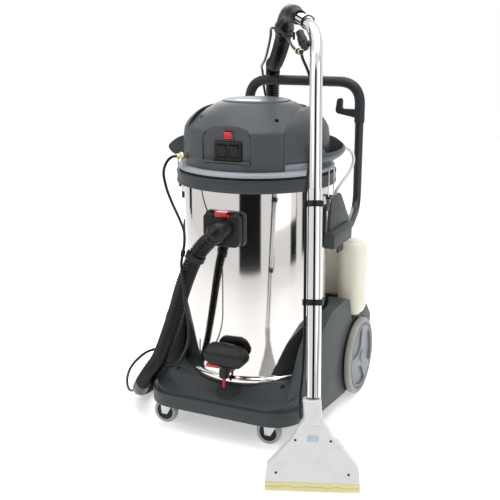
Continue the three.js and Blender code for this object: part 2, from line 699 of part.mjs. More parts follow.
// Free hoses. The suction hose leaves the inlet, meets the floor on the left, runs back
// along it, and climbs behind the push handle to the wand's elbow.
const suctionRoute = [
  outFrom(hoseStart, spigotWay, 1), outFrom(hoseStart, spigotWay, 22), [-34, -297, 590], [-54, -300, 561],
  [-74, -300, 521], [-100, -298, 457], [-122, -294, 392], [-149, -288, 324], [-181, -278, 253],
  [-206, -267, 210], [-246, -250, 160], [-296, -212, 102], [-346, -152, 46], [-358, -88, 28], [-360, 0, 26],
  [-357, 160, 26], [-346, 320, 26], [-302, 440, 26.5], [-224, 505, 40], [-170, 524, 110],
  [-148, 516, 240], [-140, 494, 440], [-141, 474, 640], [-143, 456, 840], [-140, 447, 975],
  [-136, 438, 1014], [-124, 413, 1051], [-104, 366, 1066], [-60, 280, 1074], [-14, 196, 1102],
  [20, 136, 1130], outFrom(elbowEnd, elbowWay, 25), outFrom(elbowEnd, elbowWay, gap),
];
const hoseClipPoint = [-86, -315, 572];
const clipWay = [0, -0.341, -0.94];
const solutionFrontRoute = [
  outFrom(couplingPoint, couplingAway, 38.4), outFrom(couplingPoint, couplingAway, 50), [-189, -214, 812],
  [-193, -228, 784], [-180, -238, 742], [-155, -250, 700], [-123, -268, 662], [-97, -287, 630],
  outFrom(hoseClipPoint, clipWay, -26), hoseClipPoint,
];
const solutionLongRoute = [
  outFrom(hoseClipPoint, clipWay, gap), outFrom(hoseClipPoint, clipWay, 30), [-76, -334, 500],
  [-74, -334, 450], [-70, -326, 390], [-70, -320, 331], [-81, -312, 292], [-106, -298, 250],
  [-140, -274, 212],
  [-188, -240, 184], [-206, -225, 187], [-224, -216, 204], [-238, -219, 222], [-264, -230, 216],
  [-300, -236, 186], [-331, -230, 149], [-354, -215, 109], [-370, -193, 70], [-382, -162, 36],
  [-396, -106, 12], [-404, -20, 5.5], [-400, 160, 5.5], [-388, 334, 5.5], [-336, 476, 8], [-238, 548, 30],
  [-174, 568, 120], [-152, 554, 240], [-144, 532, 440], [-150, 508, 640], [-158, 490, 840], [-174, 452, 975],
  [-170, 434, 1013], [-160, 404, 1040], [-148, 370, 1056], [-100, 286, 1082], [-54, 200, 1110],
  [-20, 138, 1140], [2, 98, 1164], [18, 64, 1184], [40, 32, 1187], [74, 8, 1177], [108, -22, 1157],
  [148, -86, 1138], outFrom(fittingEnd, fittingWay, 22), outFrom(fittingEnd, fittingWay, gap),
];
const supplyRoute = [
  [174.5, 146.4, 832], [190, 160, 834], [215, 188, 828], [236, 210, 804], [240, 211, 780], [234, 198, 752],
  [220, 172, 722], [205, 152, 692], [186, 178, 652], [160, 216, 612], [132, 252, 574], [120, 280, 548],
  [119, 284, 535], [119, 284, 520.8],
];
add('suction_hose', bar(curveThrough(suctionRoute), suctionHoseRadius, 8, 52), rubber);
add('solution_hose_front', bar(curveThrough(solutionFrontRoute), solutionHoseRadius, 8, 14), rubber);
add('solution_hose_long', bar(curveThrough(solutionLongRoute), solutionHoseRadius, 8, 56), rubber);
add('supply_tube', bar(curveThrough(supplyRoute), supplyTubeRadius, 8, 14), clearTube);

// The machine without its free hoses stands centred over the origin.
const hoses = ['suction_hose', 'solution_hose_front', 'solution_hose_long', 'supply_tube'];
machine.updateMatrixWorld(true);
const extent = new THREE.Box3();
machine.traverse((node) => {
  if (node.isMesh && !hoses.includes(node.name)) extent.expandByObject(node, true);
});
const middle = extent.getCenter(new THREE.Vector3());
machine.position.set(-middle.x, -middle.y, -extent.min.z);

const group = new THREE.Group();
group.name = 'carpet_cleaner_machine';
group.add(machine);
group.updateMatrixWorld(true);

export default group;
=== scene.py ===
import bpy
import json
import math
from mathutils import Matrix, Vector
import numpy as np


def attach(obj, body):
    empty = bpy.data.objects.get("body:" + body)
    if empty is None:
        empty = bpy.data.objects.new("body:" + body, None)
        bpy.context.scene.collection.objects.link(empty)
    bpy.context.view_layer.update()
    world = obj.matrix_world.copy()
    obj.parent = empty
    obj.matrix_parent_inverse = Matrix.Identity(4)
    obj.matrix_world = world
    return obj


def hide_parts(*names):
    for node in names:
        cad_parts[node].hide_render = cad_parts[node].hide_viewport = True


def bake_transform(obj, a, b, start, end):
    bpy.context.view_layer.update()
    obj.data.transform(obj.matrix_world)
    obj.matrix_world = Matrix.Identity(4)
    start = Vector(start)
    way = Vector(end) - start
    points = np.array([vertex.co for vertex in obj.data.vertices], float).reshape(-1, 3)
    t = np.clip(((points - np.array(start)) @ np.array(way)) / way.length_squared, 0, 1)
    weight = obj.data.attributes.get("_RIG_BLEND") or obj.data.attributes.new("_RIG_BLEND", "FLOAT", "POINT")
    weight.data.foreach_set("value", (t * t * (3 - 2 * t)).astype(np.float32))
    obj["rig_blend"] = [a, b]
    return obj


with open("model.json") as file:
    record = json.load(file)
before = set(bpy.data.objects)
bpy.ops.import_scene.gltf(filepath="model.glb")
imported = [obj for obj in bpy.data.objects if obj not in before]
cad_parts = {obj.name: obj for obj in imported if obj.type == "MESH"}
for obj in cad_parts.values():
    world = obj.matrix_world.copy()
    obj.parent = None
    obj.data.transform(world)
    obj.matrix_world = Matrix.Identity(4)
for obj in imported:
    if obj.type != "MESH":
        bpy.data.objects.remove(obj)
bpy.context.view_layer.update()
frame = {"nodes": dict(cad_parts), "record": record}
nodes = frame["nodes"]
record = frame["record"]
slotOf = {part["node"]: part["material_slot"] for part in record["subparts"]}
bodyOf = {node: body for body, members in record["behaviour"]["bodies"].items() for node in members}
millimetre = 0.001
drumAxis = Vector((-0.0953241, 0.0456122, 0))  # the drum's axis, which every size below is drawn about


# A point given in millimetres from the foot of the drum's axis.
def at(x, y, z):
    return Vector((x, y, z)) * millimetre + drumAxis


# Camera, light and floor
cameraSettings = {"place": (0.9645, -2.3094, 1.2045), "turn": (75.05, 0, 24.67), "lens": 61.54}
camera = bpy.data.objects.new("camera", bpy.data.cameras.new("camera"))
bpy.context.scene.collection.objects.link(camera)
camera.location = cameraSettings["place"]
camera.rotation_euler = [math.radians(angle) for angle in cameraSettings["turn"]]
camera.data.lens = cameraSettings["lens"]
bpy.context.scene.camera = camera
bpy.context.scene.view_settings.view_transform = "Standard"


def linear(colour):
    parts = [int(colour[i:i + 2], 16) / 255 for i in (1, 3, 5)]
    return tuple(c / 12.92 if c <= 0.04045 else ((c + 0.055) / 1.055) ** 2.4 for c in parts) + (1,)


# One node with its settings, its fixed inputs and its links.
def addNode(tree, kind, inputs=None, links=None, **settings):
    node = tree.nodes.new(kind)
    for name, value in settings.items():
        setattr(node, name, value)
    for name, value in (inputs or {}).items():
        node.inputs[name].default_value = value
    for name, socket in (links or {}).items():
        tree.links.new(socket, node.inputs[name])
    return node


softLights = {
    "keyLight": {"place": (-1.9, -2.6, 2.9), "size": 2.2, "power": 34},
    "fillLight": {"place": (3.2, -1.2, 1.9), "size": 2.4, "power": 20},
    "topLight": {"place": (0.2, 0.1, 3.4), "size": 3.0, "power": 78},
    "backLight": {"place": (-1.6, 2.8, 2.2), "size": 2.0, "power": 26},
}
for name, light in softLights.items():
    lamp = bpy.data.objects.new(name, bpy.data.lights.new(name, "AREA"))
    lamp.data.shape = "SQUARE"
    lamp.data.size = light["size"]
    lamp.data.energy = light["power"]
    lamp.location = light["place"]
    lamp.rotation_euler = (Vector(light["place"]) - Vector((0, 0, 0.6))).to_track_quat("Z", "Y").to_euler()
    bpy.context.scene.collection.objects.link(lamp)

# The room is white, with a few tall dark stands that only polished metal mirrors. Heights are the upward
# part of the direction looked in. The stands end under the ceiling, and narrow to a point near the floor.
studio = {
    # Azimuth from the front towards the right, and half width, in degrees
    "stands": [(-125, 5), (-102, 5), (14.5, 17.5), (50, 2.5), (84, 6), (104, 5)],
    "softEdge": 1.5,
    "narrowing": {"From Min": -0.193, "From Max": -0.281},
    "tops": {"From Min": 0.62, "From Max": 0.5},
    "whiteWall": (0.95, 0.95, 0.95, 1),
    "darkStand": (0.012, 0.012, 0.013, 1),
    "matteLight": {"To Min": 0.17, "To Max": 0.72},
}
world = bpy.data.worlds.new("studio")
bpy.context.scene.world = world
world.use_nodes = True
tree = world.node_tree
tree.nodes.clear()
direction = addNode(tree, "ShaderNodeTexCoord").outputs["Generated"]
parts = addNode(tree, "ShaderNodeSeparateXYZ", links={"Vector": direction})
height = parts.outputs["Z"]
ahead = addNode(tree, "ShaderNodeMath", {1: -1}, {0: parts.outputs["Y"]}, operation="MULTIPLY")
azimuth = addNode(tree, "ShaderNodeMath", links={0: parts.outputs["X"], 1: ahead.outputs[0]},
                  operation="ARCTAN2")
narrowing = addNode(tree, "ShaderNodeMapRange", studio["narrowing"], {"Value": height})
stands = addNode(tree, "ShaderNodeMath", {0: 0, 1: 0}, operation="ADD")
for middle, half in studio["stands"]:
    turned = addNode(tree, "ShaderNodeMath", {1: math.radians(middle)}, {0: azimuth.outputs[0]},
                     operation="SUBTRACT")
    away = addNode(tree, "ShaderNodeMath", links={0: turned.outputs[0]}, operation="ABSOLUTE")
    away = addNode(tree, "ShaderNodeMath", {1: math.radians(half)},
                   {0: narrowing.outputs[0], 2: away.outputs[0]}, operation="MULTIPLY_ADD")
    edge = {"From Min": math.radians(half), "From Max": math.radians(half - studio["softEdge"])}
    stand = addNode(tree, "ShaderNodeMapRange", edge, {"Value": away.outputs[0]})
    stands = addNode(tree, "ShaderNodeMath", links={0: stands.outputs[0], 1: stand.outputs[0]},
                     operation="MAXIMUM")
low = addNode(tree, "ShaderNodeMapRange", studio["tops"], {"Value": height})
dark = addNode(tree, "ShaderNodeMath", links={0: stands.outputs[0], 1: low.outputs[0]}, operation="MULTIPLY")
mirrored = addNode(tree, "ShaderNodeMix", links={0: dark.outputs[0]}, data_type="RGBA")
mirrored.inputs[6].default_value = studio["whiteWall"]
mirrored.inputs[7].default_value = studio["darkStand"]
rays = addNode(tree, "ShaderNodeLightPath")
sky = addNode(tree, "ShaderNodeMapRange", studio["matteLight"], {"Value": height})
room = addNode(tree, "ShaderNodeMix", data_type="RGBA", links={
    0: rays.outputs["Is Glossy Ray"], 6: sky.outputs[0], 7: mirrored.outputs[2]})
seen = addNode(tree, "ShaderNodeMix", data_type="RGBA", links={
    0: rays.outputs["Is Camera Ray"], 6: room.outputs[2]})
seen.inputs[7].default_value = (1, 1, 1, 1)
background = addNode(tree, "ShaderNodeBackground", {"Strength": 1.0}, {"Color": seen.outputs[2]})
addNode(tree, "ShaderNodeOutputWorld", links={"Surface": background.outputs[0]})


# A finish with a grain in the surface and a slow change of tone and gloss over it. Sizes are in millimetres.
def surface(name, colours, roughness, grain=1.5, depth=0.02, patch=60, spread=0.06, stretch=(1, 1, 1),
            inputs=None):
    material = bpy.data.materials.new(name)
    material.use_nodes = True
    tree = material.node_tree
    tree.nodes.clear()
    place = addNode(tree, "ShaderNodeTexCoord").outputs["Object"]
    stretched = addNode(tree, "ShaderNodeMapping", {"Scale": stretch}, {"Vector": place}).outputs[0]
    fine = addNode(tree, "ShaderNodeTexNoise", {"Scale": 1 / (grain * millimetre), "Detail": 3},
                   {"Vector": stretched})
    slow = addNode(tree, "ShaderNodeTexNoise", {"Scale": 1 / (patch * millimetre), "Detail": 4},
                   {"Vector": place})
    tone = addNode(tree, "ShaderNodeMix", links={0: slow.outputs["Fac"]}, data_type="RGBA")
    tone.inputs[6].default_value = linear(colours[0])
    tone.inputs[7].default_value = linear(colours[1])
    blended = addNode(tree, "ShaderNodeMix", {0: 0.5}, {2: slow.outputs["Fac"], 3: fine.outputs["Fac"]})
    glossRange = {"From Min": 0.3, "From Max": 0.7,
                  "To Min": roughness - spread, "To Max": roughness + spread}
    gloss = addNode(tree, "ShaderNodeMapRange", glossRange, {"Value": blended.outputs[0]})
    relief = addNode(tree, "ShaderNodeBump", {"Strength": 1, "Distance": depth * millimetre},
                     {"Height": fine.outputs["Fac"]})
    shader = addNode(tree, "ShaderNodeBsdfPrincipled", inputs, {
        "Base Color": tone.outputs[2], "Roughness": gloss.outputs[0], "Normal": relief.outputs[0]})
    addNode(tree, "ShaderNodeOutputMaterial", links={"Surface": shader.outputs[0]})
    return material


metal = {"Metallic": 1.0}
matt = {"Specular IOR Level": 0.25}  # a grained moulding mirrors less than a polished one
polished = {"Coat Weight": 0.15, "Coat Roughness": 0.12}
milky = {"Subsurface Weight": 0.35, "Subsurface Radius": (0.012, 0.01, 0.007), "Subsurface Scale": 1.0}
cloudy = {"Subsurface Weight": 0.4, "Subsurface Radius": (0.01, 0.01, 0.01), "Subsurface Scale": 1.0}
seeThrough = {"Transmission Weight": 0.2, "IOR": 1.5}
looks = {
    # Injection-moulded polypropylene: spark-eroded grain, soft sheen, in three greys
    "trolleyPolypropylene": dict(colours=("#34383b", "#3e4346"), roughness=0.46, grain=1.3, depth=0.05,
                                 inputs=matt),
    "headPolypropylene": dict(colours=("#414549", "#4a4e52"), roughness=0.4, grain=1.1, depth=0.03,
                              inputs=matt),
    "handlePolypropylene": dict(colours=("#24292d", "#2c3237"), roughness=0.42, grain=1.1, depth=0.04,
                                inputs=matt),
    # Glass-filled nylon: nearly black, slightly glossy
    "blackNylon": dict(colours=("#0f1011", "#181919"), roughness=0.33, grain=0.9, depth=0.03, inputs=matt),
    # Moulded ABS: even colour, a smooth satin skin, and the red one polished
    "paleGreyAbs": dict(colours=("#959ca4", "#a2a9b0"), roughness=0.38, grain=1.2),
    "redAbs": dict(colours=("#b50d08", "#c51610"), roughness=0.27, grain=1.2, depth=0.015, inputs=polished),
    # Blow-moulded natural polyethylene: milky, light goes into it
    "naturalPolyethylene": dict(colours=("#e6e1d0", "#f1eee3"), roughness=0.42, grain=4, depth=0.08,
                                patch=80, inputs=milky),
    # Cloudy polycarbonate: pale grey, glossy, light spreads a little in it
    "nozzlePolycarbonate": dict(colours=("#c9cbcb", "#d6d8d8"), roughness=0.3, grain=5, depth=0.03, patch=50,
                                inputs=cloudy),
    # Unfilled nylon: cream coloured, with a waxy sheen
    "creamNylon": dict(colours=("#cfc68e", "#ddd6a8"), roughness=0.4, grain=2, depth=0.04),
    # Bright-annealed stainless sheet, rolled round: a mirror with a very faint grain along the roll
    "stainlessSheet": dict(colours=("#d2cfcc", "#dad7d4"), roughness=0.075, grain=0.8, depth=0.0015,
                           patch=90, spread=0.025, stretch=(0.02, 0.02, 1), inputs=metal),
    # Chrome on polished steel tube: a clear mirror
    "chromePlate": dict(colours=("#d9dadb", "#e2e3e4"), roughness=0.05, grain=3, depth=0.001, patch=70,
                        spread=0.015, inputs=metal),
    # Zinc-plated steel: soft grey metal with uneven patches of gloss
    "zincPlate": dict(colours=("#b4b8bc", "#cfd1d2"), roughness=0.3, grain=0.7, depth=0.01, patch=12,
                      spread=0.08, inputs=metal),
    # Turned brass under thin nickel: a warm pale metal
    "nickelledBrass": dict(colours=("#c9b68c", "#ded2b4"), roughness=0.24, grain=0.8, depth=0.006, patch=15,
                           inputs=metal),
    # Baked powder coat: black, with a faint orange-peel
    "blackPowderCoat": dict(colours=("#161617", "#1f2021"), roughness=0.34, grain=1.0, depth=0.04),
    # Non-marking rubber: dull warm grey
    "greyRubber": dict(colours=("#95958e", "#a8a8a0"), roughness=0.62, grain=1.0, depth=0.05),
    # Moulded nylon disc: mid grey, satin
    "wheelNylon": dict(colours=("#6d7378", "#7b8186"), roughness=0.4, grain=1.3, depth=0.04),
    # Extruded hose rubber: deep black with a sheen on the ribs
    "hoseRubber": dict(colours=("#050506", "#0b0b0c"), roughness=0.3, grain=0.8, depth=0.03, inputs=matt),
    # Soft clear vinyl tube: whitish, glossy, a little light passes
    "clearVinyl": dict(colours=("#dfe3e4", "#eceeee"), roughness=0.2, grain=4, inputs=seeThrough),
    # Painted shade for unlit gaps, and the black seal and blackened screws: nearly black and dull
    "darkRecess": dict(colours=("#050506", "#0b0b0c"), roughness=0.6, grain=1.0),
    # Printed film: flat pale grey
    "palePrint": dict(colours=("#c9cdd0", "#dadddf"), roughness=0.4, grain=1.0, depth=0.01),
    # Tinted window plate: smooth pale blue
    "slateBlueWindow": dict(colours=("#9fb0bd", "#b3c1cc"), roughness=0.2, grain=3.0, depth=0.01),
}
finishes = {name: surface(name, **look) for name, look in looks.items()}
slotFinish = {
    "trolley_plastic": "trolleyPolypropylene", "head_plastic": "headPolypropylene",
    "handle_plastic": "handlePolypropylene", "black_plastic": "blackNylon",
    "pale_grey_plastic": "paleGreyAbs", "red_plastic": "redAbs", "natural_plastic": "naturalPolyethylene",
    "nozzle_plastic": "nozzlePolycarbonate", "drum_steel": "stainlessSheet", "steel": "zincPlate",
    "zinc_steel": "zincPlate", "chrome": "chromePlate", "black_tube": "blackPowderCoat",
    "brass": "nickelledBrass", "wheel_tyre": "greyRubber", "wheel_hub": "wheelNylon",
    "castor_wheel": "greyRubber", "hose_black": "hoseRubber", "clear_tube": "clearVinyl",
}
for name, node in nodes.items():
    node.data.materials.clear()
    node.data.materials.append(finishes[slotFinish[slotOf[name]]])
print("materials done")


def deselect():
    if bpy.context.object and bpy.context.object.mode == "EDIT":
        bpy.ops.object.mode_set(mode="OBJECT")
    bpy.ops.object.select_all(action="DESELECT")


def choose(piece):
    deselect()
    piece.select_set(True)
    bpy.context.view_layer.objects.active = piece


# Give a piece its finish and its body, and hide the CAD nodes it stands for.
def finishPiece(piece, finish, node, *replaced):
    piece.data.materials.clear()
    piece.data.materials.append(finishes[finish])
    if "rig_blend" not in piece:
        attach(piece, bodyOf[node])
    if replaced:
        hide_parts(*replaced)
    return piece


def smooth(piece, angle=35):
    choose(piece)
    bpy.ops.object.shade_smooth_by_angle(angle=math.radians(angle))
    return piece


def applied(piece, kind, **settings):
    choose(piece)
    modifier = piece.modifiers.new(kind.lower(), kind)
    for name, value in settings.items():
        setattr(modifier, name, value)
    bpy.ops.object.modifier_apply(modifier=modifier.name)
    return piece


# Edges sharper than an angle are rounded to a width in millimetres.
def rounded(piece, width, segments=2, sharp=30, smoothAngle=40):
    applied(piece, "BEVEL", width=width * millimetre, segments=segments, limit_method="ANGLE",
            angle_limit=math.radians(sharp), use_clamp_overlap=True)
    return smooth(piece, smoothAngle)


# A chain of edges drawn by extruding one vertex from point to point, left open in edit mode.
def drawChain(name, points):
    deselect()
    bpy.ops.mesh.primitive_plane_add(size=millimetre, location=(0, 0, 0))
    piece = bpy.context.object
    piece.name = name
    bpy.ops.object.mode_set(mode="EDIT")
    bpy.ops.mesh.select_mode(type="VERT")
    bpy.ops.mesh.select_all(action="SELECT")
    bpy.ops.mesh.merge(type="CENTER")
    bpy.ops.transform.translate(value=points[0])
    for last, point in zip(points, points[1:]):
        bpy.ops.mesh.extrude_region_move(TRANSFORM_OT_translate={"value": point - last})
    bpy.ops.mesh.select_all(action="SELECT")
    return piece


# What was drawn becomes one closed surface that faces outwards.
def closeMesh():
    bpy.ops.mesh.select_all(action="SELECT")
    bpy.ops.mesh.remove_doubles(threshold=1e-6)
    bpy.ops.mesh.normals_make_consistent(inside=False)
    bpy.ops.object.mode_set(mode="OBJECT")
    return smooth(bpy.context.object)


# A profile of (radius, height) pairs, spun about an axis through a centre. A part turn gets flat ends.
def turnedPiece(name, profile, centre=(0, 0, 0), axis=(0, 0, 1), out=(1, 0, 0), steps=128, sweep=360):
    middle = at(*centre)
    axis = Vector(axis)
    out = Vector(out)
    piece = drawChain(name, [middle + (out * r + axis * h) * millimetre for r, h in profile])
    if sweep < 360:
        bpy.ops.mesh.remove_doubles(threshold=1e-6)
        bpy.ops.mesh.edge_face_add()
    bpy.ops.mesh.spin(steps=steps, angle=math.radians(sweep), center=middle, axis=axis)
    return closeMesh()


# A flat outline pushed along a vector.
def pushedPlate(name, outline, push):
    piece = drawChain(name, [at(*point) for point in outline + outline[:1]])
    bpy.ops.mesh.remove_doubles(threshold=1e-6)
    bpy.ops.mesh.edge_face_add()
    bpy.ops.mesh.extrude_region_move(TRANSFORM_OT_translate={"value": Vector(push) * millimetre})
    return closeMesh()


# A piece is cut by a tool, or keeps only what lies inside it. The tool is used up.
def cutBy(piece, tool, operation="DIFFERENCE"):
    applied(piece, "BOOLEAN", operation=operation, object=tool, solver="EXACT")
    bpy.data.objects.remove(tool)
    return piece


def camelName(node):
    first, *rest = node.split("_")
    return first + "".join(word.capitalize() for word in rest)


# A copy of a CAD node with its flat faces made whole, so that its edges can be rounded.
def looseCopy(node):
    flatness = 1
    piece = bpy.data.objects.new(camelName(node), nodes[node].data.copy())
    bpy.context.scene.collection.objects.link(piece)
    choose(piece)
    bpy.ops.object.mode_set(mode="EDIT")
    bpy.ops.mesh.select_all(action="SELECT")
    bpy.ops.mesh.remove_doubles(threshold=1e-6)
    bpy.ops.mesh.dissolve_limited(angle_limit=math.radians(flatness))
    bpy.ops.mesh.normals_make_consistent(inside=False)
    bpy.ops.object.mode_set(mode="OBJECT")
    return piece


# The smooth line through a row of points that the hoses and bent tubes follow.
def curvePoints(points, spacing):
    steps = 40
    points = [Vector(p) for p in points]
    row = [points[0] * 2 - points[1]] + points + [points[-1] * 2 - points[-2]]
    fine = []
    for a, b, c, d in zip(row, row[1:], row[2:], row[3:]):
        ab, bc, cd = [max((q - p).length ** 0.5, 1e-4) for p, q in ((a, b), (b, c), (c, d))]
        leave = ((b - a) / ab - (c - a) / (ab + bc) + (c - b) / bc) * bc
        arrive = ((c - b) / bc - (d - b) / (bc + cd) + (d - c) / cd) * bc
        for i in range(steps):
            t = i / steps
            fine.append(b * (2 * t ** 3 - 3 * t * t + 1) + leave * (t ** 3 - 2 * t * t + t)
                        + c * (3 * t * t - 2 * t ** 3) + arrive * (t ** 3 - t * t))
    fine.append(points[-1])
    return evenly(fine, spacing)


# The same line with its points at one distance from each other.
def evenly(fine, spacing):
    lengths = [0]
    for p, q in zip(fine, fine[1:]):
        lengths.append(lengths[-1] + (q - p).length)
    count = max(2, round(lengths[-1] / spacing))
    result = []
    k = 0
    for i in range(count + 1):
        wanted = lengths[-1] * i / count
        while k < len(fine) - 2 and lengths[k + 1] < wanted:
            k += 1
        share = (wanted - lengths[k]) / max(lengths[k + 1] - lengths[k], 1e-9)
        result.append(fine[k].lerp(fine[k + 1], min(1, share)))
    return result


# Straight runs with a round bend at each corner.
def bentPoints(points, bend, spacing):
    steps = 16
    points = [Vector(p) for p in points]
    fine = [points[0]]
    for last, corner, coming in zip(points, points[1:], points[2:]):
        back = (last - corner).normalized()
        ahead = (coming - corner).normalized()
        reach = bend / math.tan(back.angle(ahead) / 2)
        start, end = corner + back * reach, corner + ahead * reach
        for i in range(steps + 1):
            t = i / steps
            fine.append(start * (1 - t) ** 2 + corner * 2 * t * (1 - t) + end * t * t)
    fine.append(points[-1])
    return evenly(fine, spacing)


def pathLength(path):
    return sum((q - p).length for p, q in zip(path, path[1:]))


# A round tube along a path, with its radius given by the distance along it.
def tubeAlong(name, path, radiusAt, sides=32, angle=50):
    verts, faces = [], []
    way = (path[1] - path[0]).normalized()
    side = way.orthogonal().normalized()
    travelled = 0
    for i, point in enumerate(path):
        if i:
            travelled += (point - path[i - 1]).length
        after = path[min(i + 1, len(path) - 1)]
        before = path[max(i - 1, 0)]
        turned = (after - before).normalized()
        side = way.rotation_difference(turned) @ side
        side = (side - turned * side.dot(turned)).normalized()
        way = turned
        up = way.cross(side)
        radius = radiusAt(travelled)
        for k in range(sides):
            around = k * math.tau / sides
            verts.append(point + (side * math.cos(around) + up * math.sin(around)) * radius)
    for i in range(len(path) - 1):
        for k in range(sides):
            j = (k + 1) % sides
            faces.append((i * sides + k, i * sides + j, (i + 1) * sides + j, (i + 1) * sides + k))
    faces.append(tuple(reversed(range(sides))))
    faces.append(tuple(range((len(path) - 1) * sides, len(path) * sides)))
    mesh = bpy.data.meshes.new(name)
    mesh.from_pydata(verts, [], faces)
    piece = bpy.data.objects.new(name, mesh)
    bpy.context.scene.collection.objects.link(piece)
    return smooth(piece, angle)


def metres(points):
    return [at(*p) for p in points]


def further(point, way, distance):
    return tuple(p + w * distance for p, w in zip(point, way))


# Free hoses
spigotWay, hoseStart = (-0.66, -0.22, -0.718), (0, -291, 626)
elbowEnd, elbowWay = (52, 82, 1176), (-0.339, 0.533, -0.775)
couplingPoint, couplingAway = (-144, -165, 827), (-0.668, -0.743, -0.03)
clipPoint, clipWay = (-86, -315, 572), (0, -0.341, -0.94)
valveFitting, fittingWay = (186, -143, 1128), (-0.489, 0.872, 0)
suctionHose = {
    "radius": 25, "ribPitch": 9.2, "ribDepth": 2.8, "toe": ((-296, -212, 102), (-346, -152, 46)),
    "route": [
        further(hoseStart, spigotWay, 1), further(hoseStart, spigotWay, 22), (-34, -297, 590),
        (-54, -300, 561), (-74, -300, 521), (-100, -298, 457), (-122, -294, 392), (-149, -288, 324),
        (-181, -278, 253), (-206, -267, 210), (-246, -250, 160), (-296, -212, 102), (-346, -152, 46),
        (-358, -88, 28), (-360, 0, 26), (-357, 160, 26), (-346, 320, 26), (-302, 440, 26.5),
        (-224, 505, 40), (-170, 524, 110), (-148, 516, 240), (-140, 494, 440), (-141, 474, 640),
        (-143, 456, 840), (-140, 447, 975), (-136, 438, 1014), (-124, 413, 1051), (-104, 366, 1066),
        (-60, 280, 1074), (-14, 196, 1102), (20, 136, 1130), further(elbowEnd, elbowWay, 25),
        further(elbowEnd, elbowWay, 0.3),
    ],
}
solutionHose = {
    "radius": 4,
    "front": [
        further(couplingPoint, couplingAway, 38.4), further(couplingPoint, couplingAway, 50),
        (-189, -214, 812), (-193, -228, 784), (-180, -238, 742), (-155, -250, 700), (-123, -268, 662),
        (-97, -287, 630), further(clipPoint, clipWay, -26), clipPoint,
    ],
    "long": [
        further(clipPoint, clipWay, 0.3), further(clipPoint, clipWay, 30), (-76, -334, 500),
        (-74, -334, 450), (-70, -326, 390), (-70, -320, 331), (-81, -312, 292), (-106, -298, 250),
        (-140, -274, 212), (-188, -240, 184), (-206, -225, 187), (-224, -216, 204), (-238, -219, 222),
        (-264, -230, 216), (-300, -236, 186), (-331, -230, 149), (-354, -215, 109), (-370, -193, 70),
        (-382, -162, 36), (-396, -106, 12), (-404, -20, 5.5), (-400, 160, 5.5), (-388, 334, 5.5),
        (-336, 476, 8), (-238, 548, 30), (-174, 568, 120), (-152, 554, 240), (-144, 532, 440),
        (-150, 508, 640), (-158, 490, 840), (-174, 452, 975), (-170, 434, 1013), (-160, 404, 1040),
        (-148, 370, 1056), (-100, 286, 1082), (-54, 200, 1110), (-20, 138, 1140), (2, 98, 1164),
        (18, 64, 1184), (40, 32, 1187), (74, 8, 1177), (108, -22, 1157), (148, -86, 1138),
        further(valveFitting, fittingWay, 22), further(valveFitting, fittingWay, 0.3),
    ],
}
supplyTube = {
    "radius": 5,
    "route": [
        (174.5, 146.4, 832), (190, 160, 834), (215, 188, 828), (236, 210, 804), (240, 211, 780),
        (234, 198, 752), (220, 172, 722), (205, 152, 692), (186, 178, 652), (160, 216, 612),
        (132, 252, 574), (120, 280, 548), (119, 284, 535), (119, 284, 520.8),
    ],
}


# How far along an evenly pointed path it passes nearest to a point.
def distanceTo(path, point):
    nearest = min(range(len(path)), key=lambda i: (path[i] - at(*point)).length)
    return nearest * pathLength(path) / (len(path) - 1)


# The ribs are rings. The hose is smooth at its ends and on the stiff toe where it meets the floor.
def ribbedRadius(path):
    total = pathLength(path)
    pitch = suctionHose["ribPitch"] * millimetre
    toeStart, toeEnd = [distanceTo(path, point) for point in suctionHose["toe"]]

    def radius(distance):
        plain = distance < 0.004 or distance > total - 0.02 or toeStart < distance < toeEnd
        groove = (0.5 + 0.5 * math.cos(math.tau * distance / pitch)) ** 0.6
        dip = 0 if plain else suctionHose["ribDepth"] * groove
        return (suctionHose["radius"] - 0.3 - dip) * millimetre
    return radius


suctionPath = curvePoints(metres(suctionHose["route"]), suctionHose["ribPitch"] * millimetre / 6)
suctionPiece = tubeAlong("suctionHose", suctionPath, ribbedRadius(suctionPath), 24, 80)
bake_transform(suctionPiece, "trolley", "wand", start=at(0, 0, 900), end=at(0, 0, 1150))
finishPiece(suctionPiece, "hoseRubber", "suction_hose", "suction_hose")

frontPath = curvePoints(metres(solutionHose["front"]), 0.006)
frontPiece = tubeAlong("solutionHoseFront", frontPath, lambda d: solutionHose["radius"] * millimetre, 16)
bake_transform(frontPiece, "trolley", "head", start=at(0, 0, 650), end=at(0, 0, 800))
finishPiece(frontPiece, "hoseRubber", "solution_hose_front", "solution_hose_front")
longPath = curvePoints(metres(solutionHose["long"]), 0.006)
longPiece = tubeAlong("solutionHoseLong", longPath, lambda d: solutionHose["radius"] * millimetre, 16)
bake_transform(longPiece, "trolley", "wand", start=at(0, 0, 900), end=at(0, 0, 1120))
finishPiece(longPiece, "hoseRubber", "solution_hose_long", "solution_hose_long")
supplyPath = curvePoints(metres(supplyTube["route"]), 0.006)
supplyPiece = tubeAlong("supplyTube", supplyPath, lambda d: supplyTube["radius"] * millimetre, 20)
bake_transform(supplyPiece, "trolley", "head", start=at(0, 0, 560), end=at(0, 0, 800))
finishPiece(supplyPiece, "clearVinyl", "supply_tube", "supply_tube")

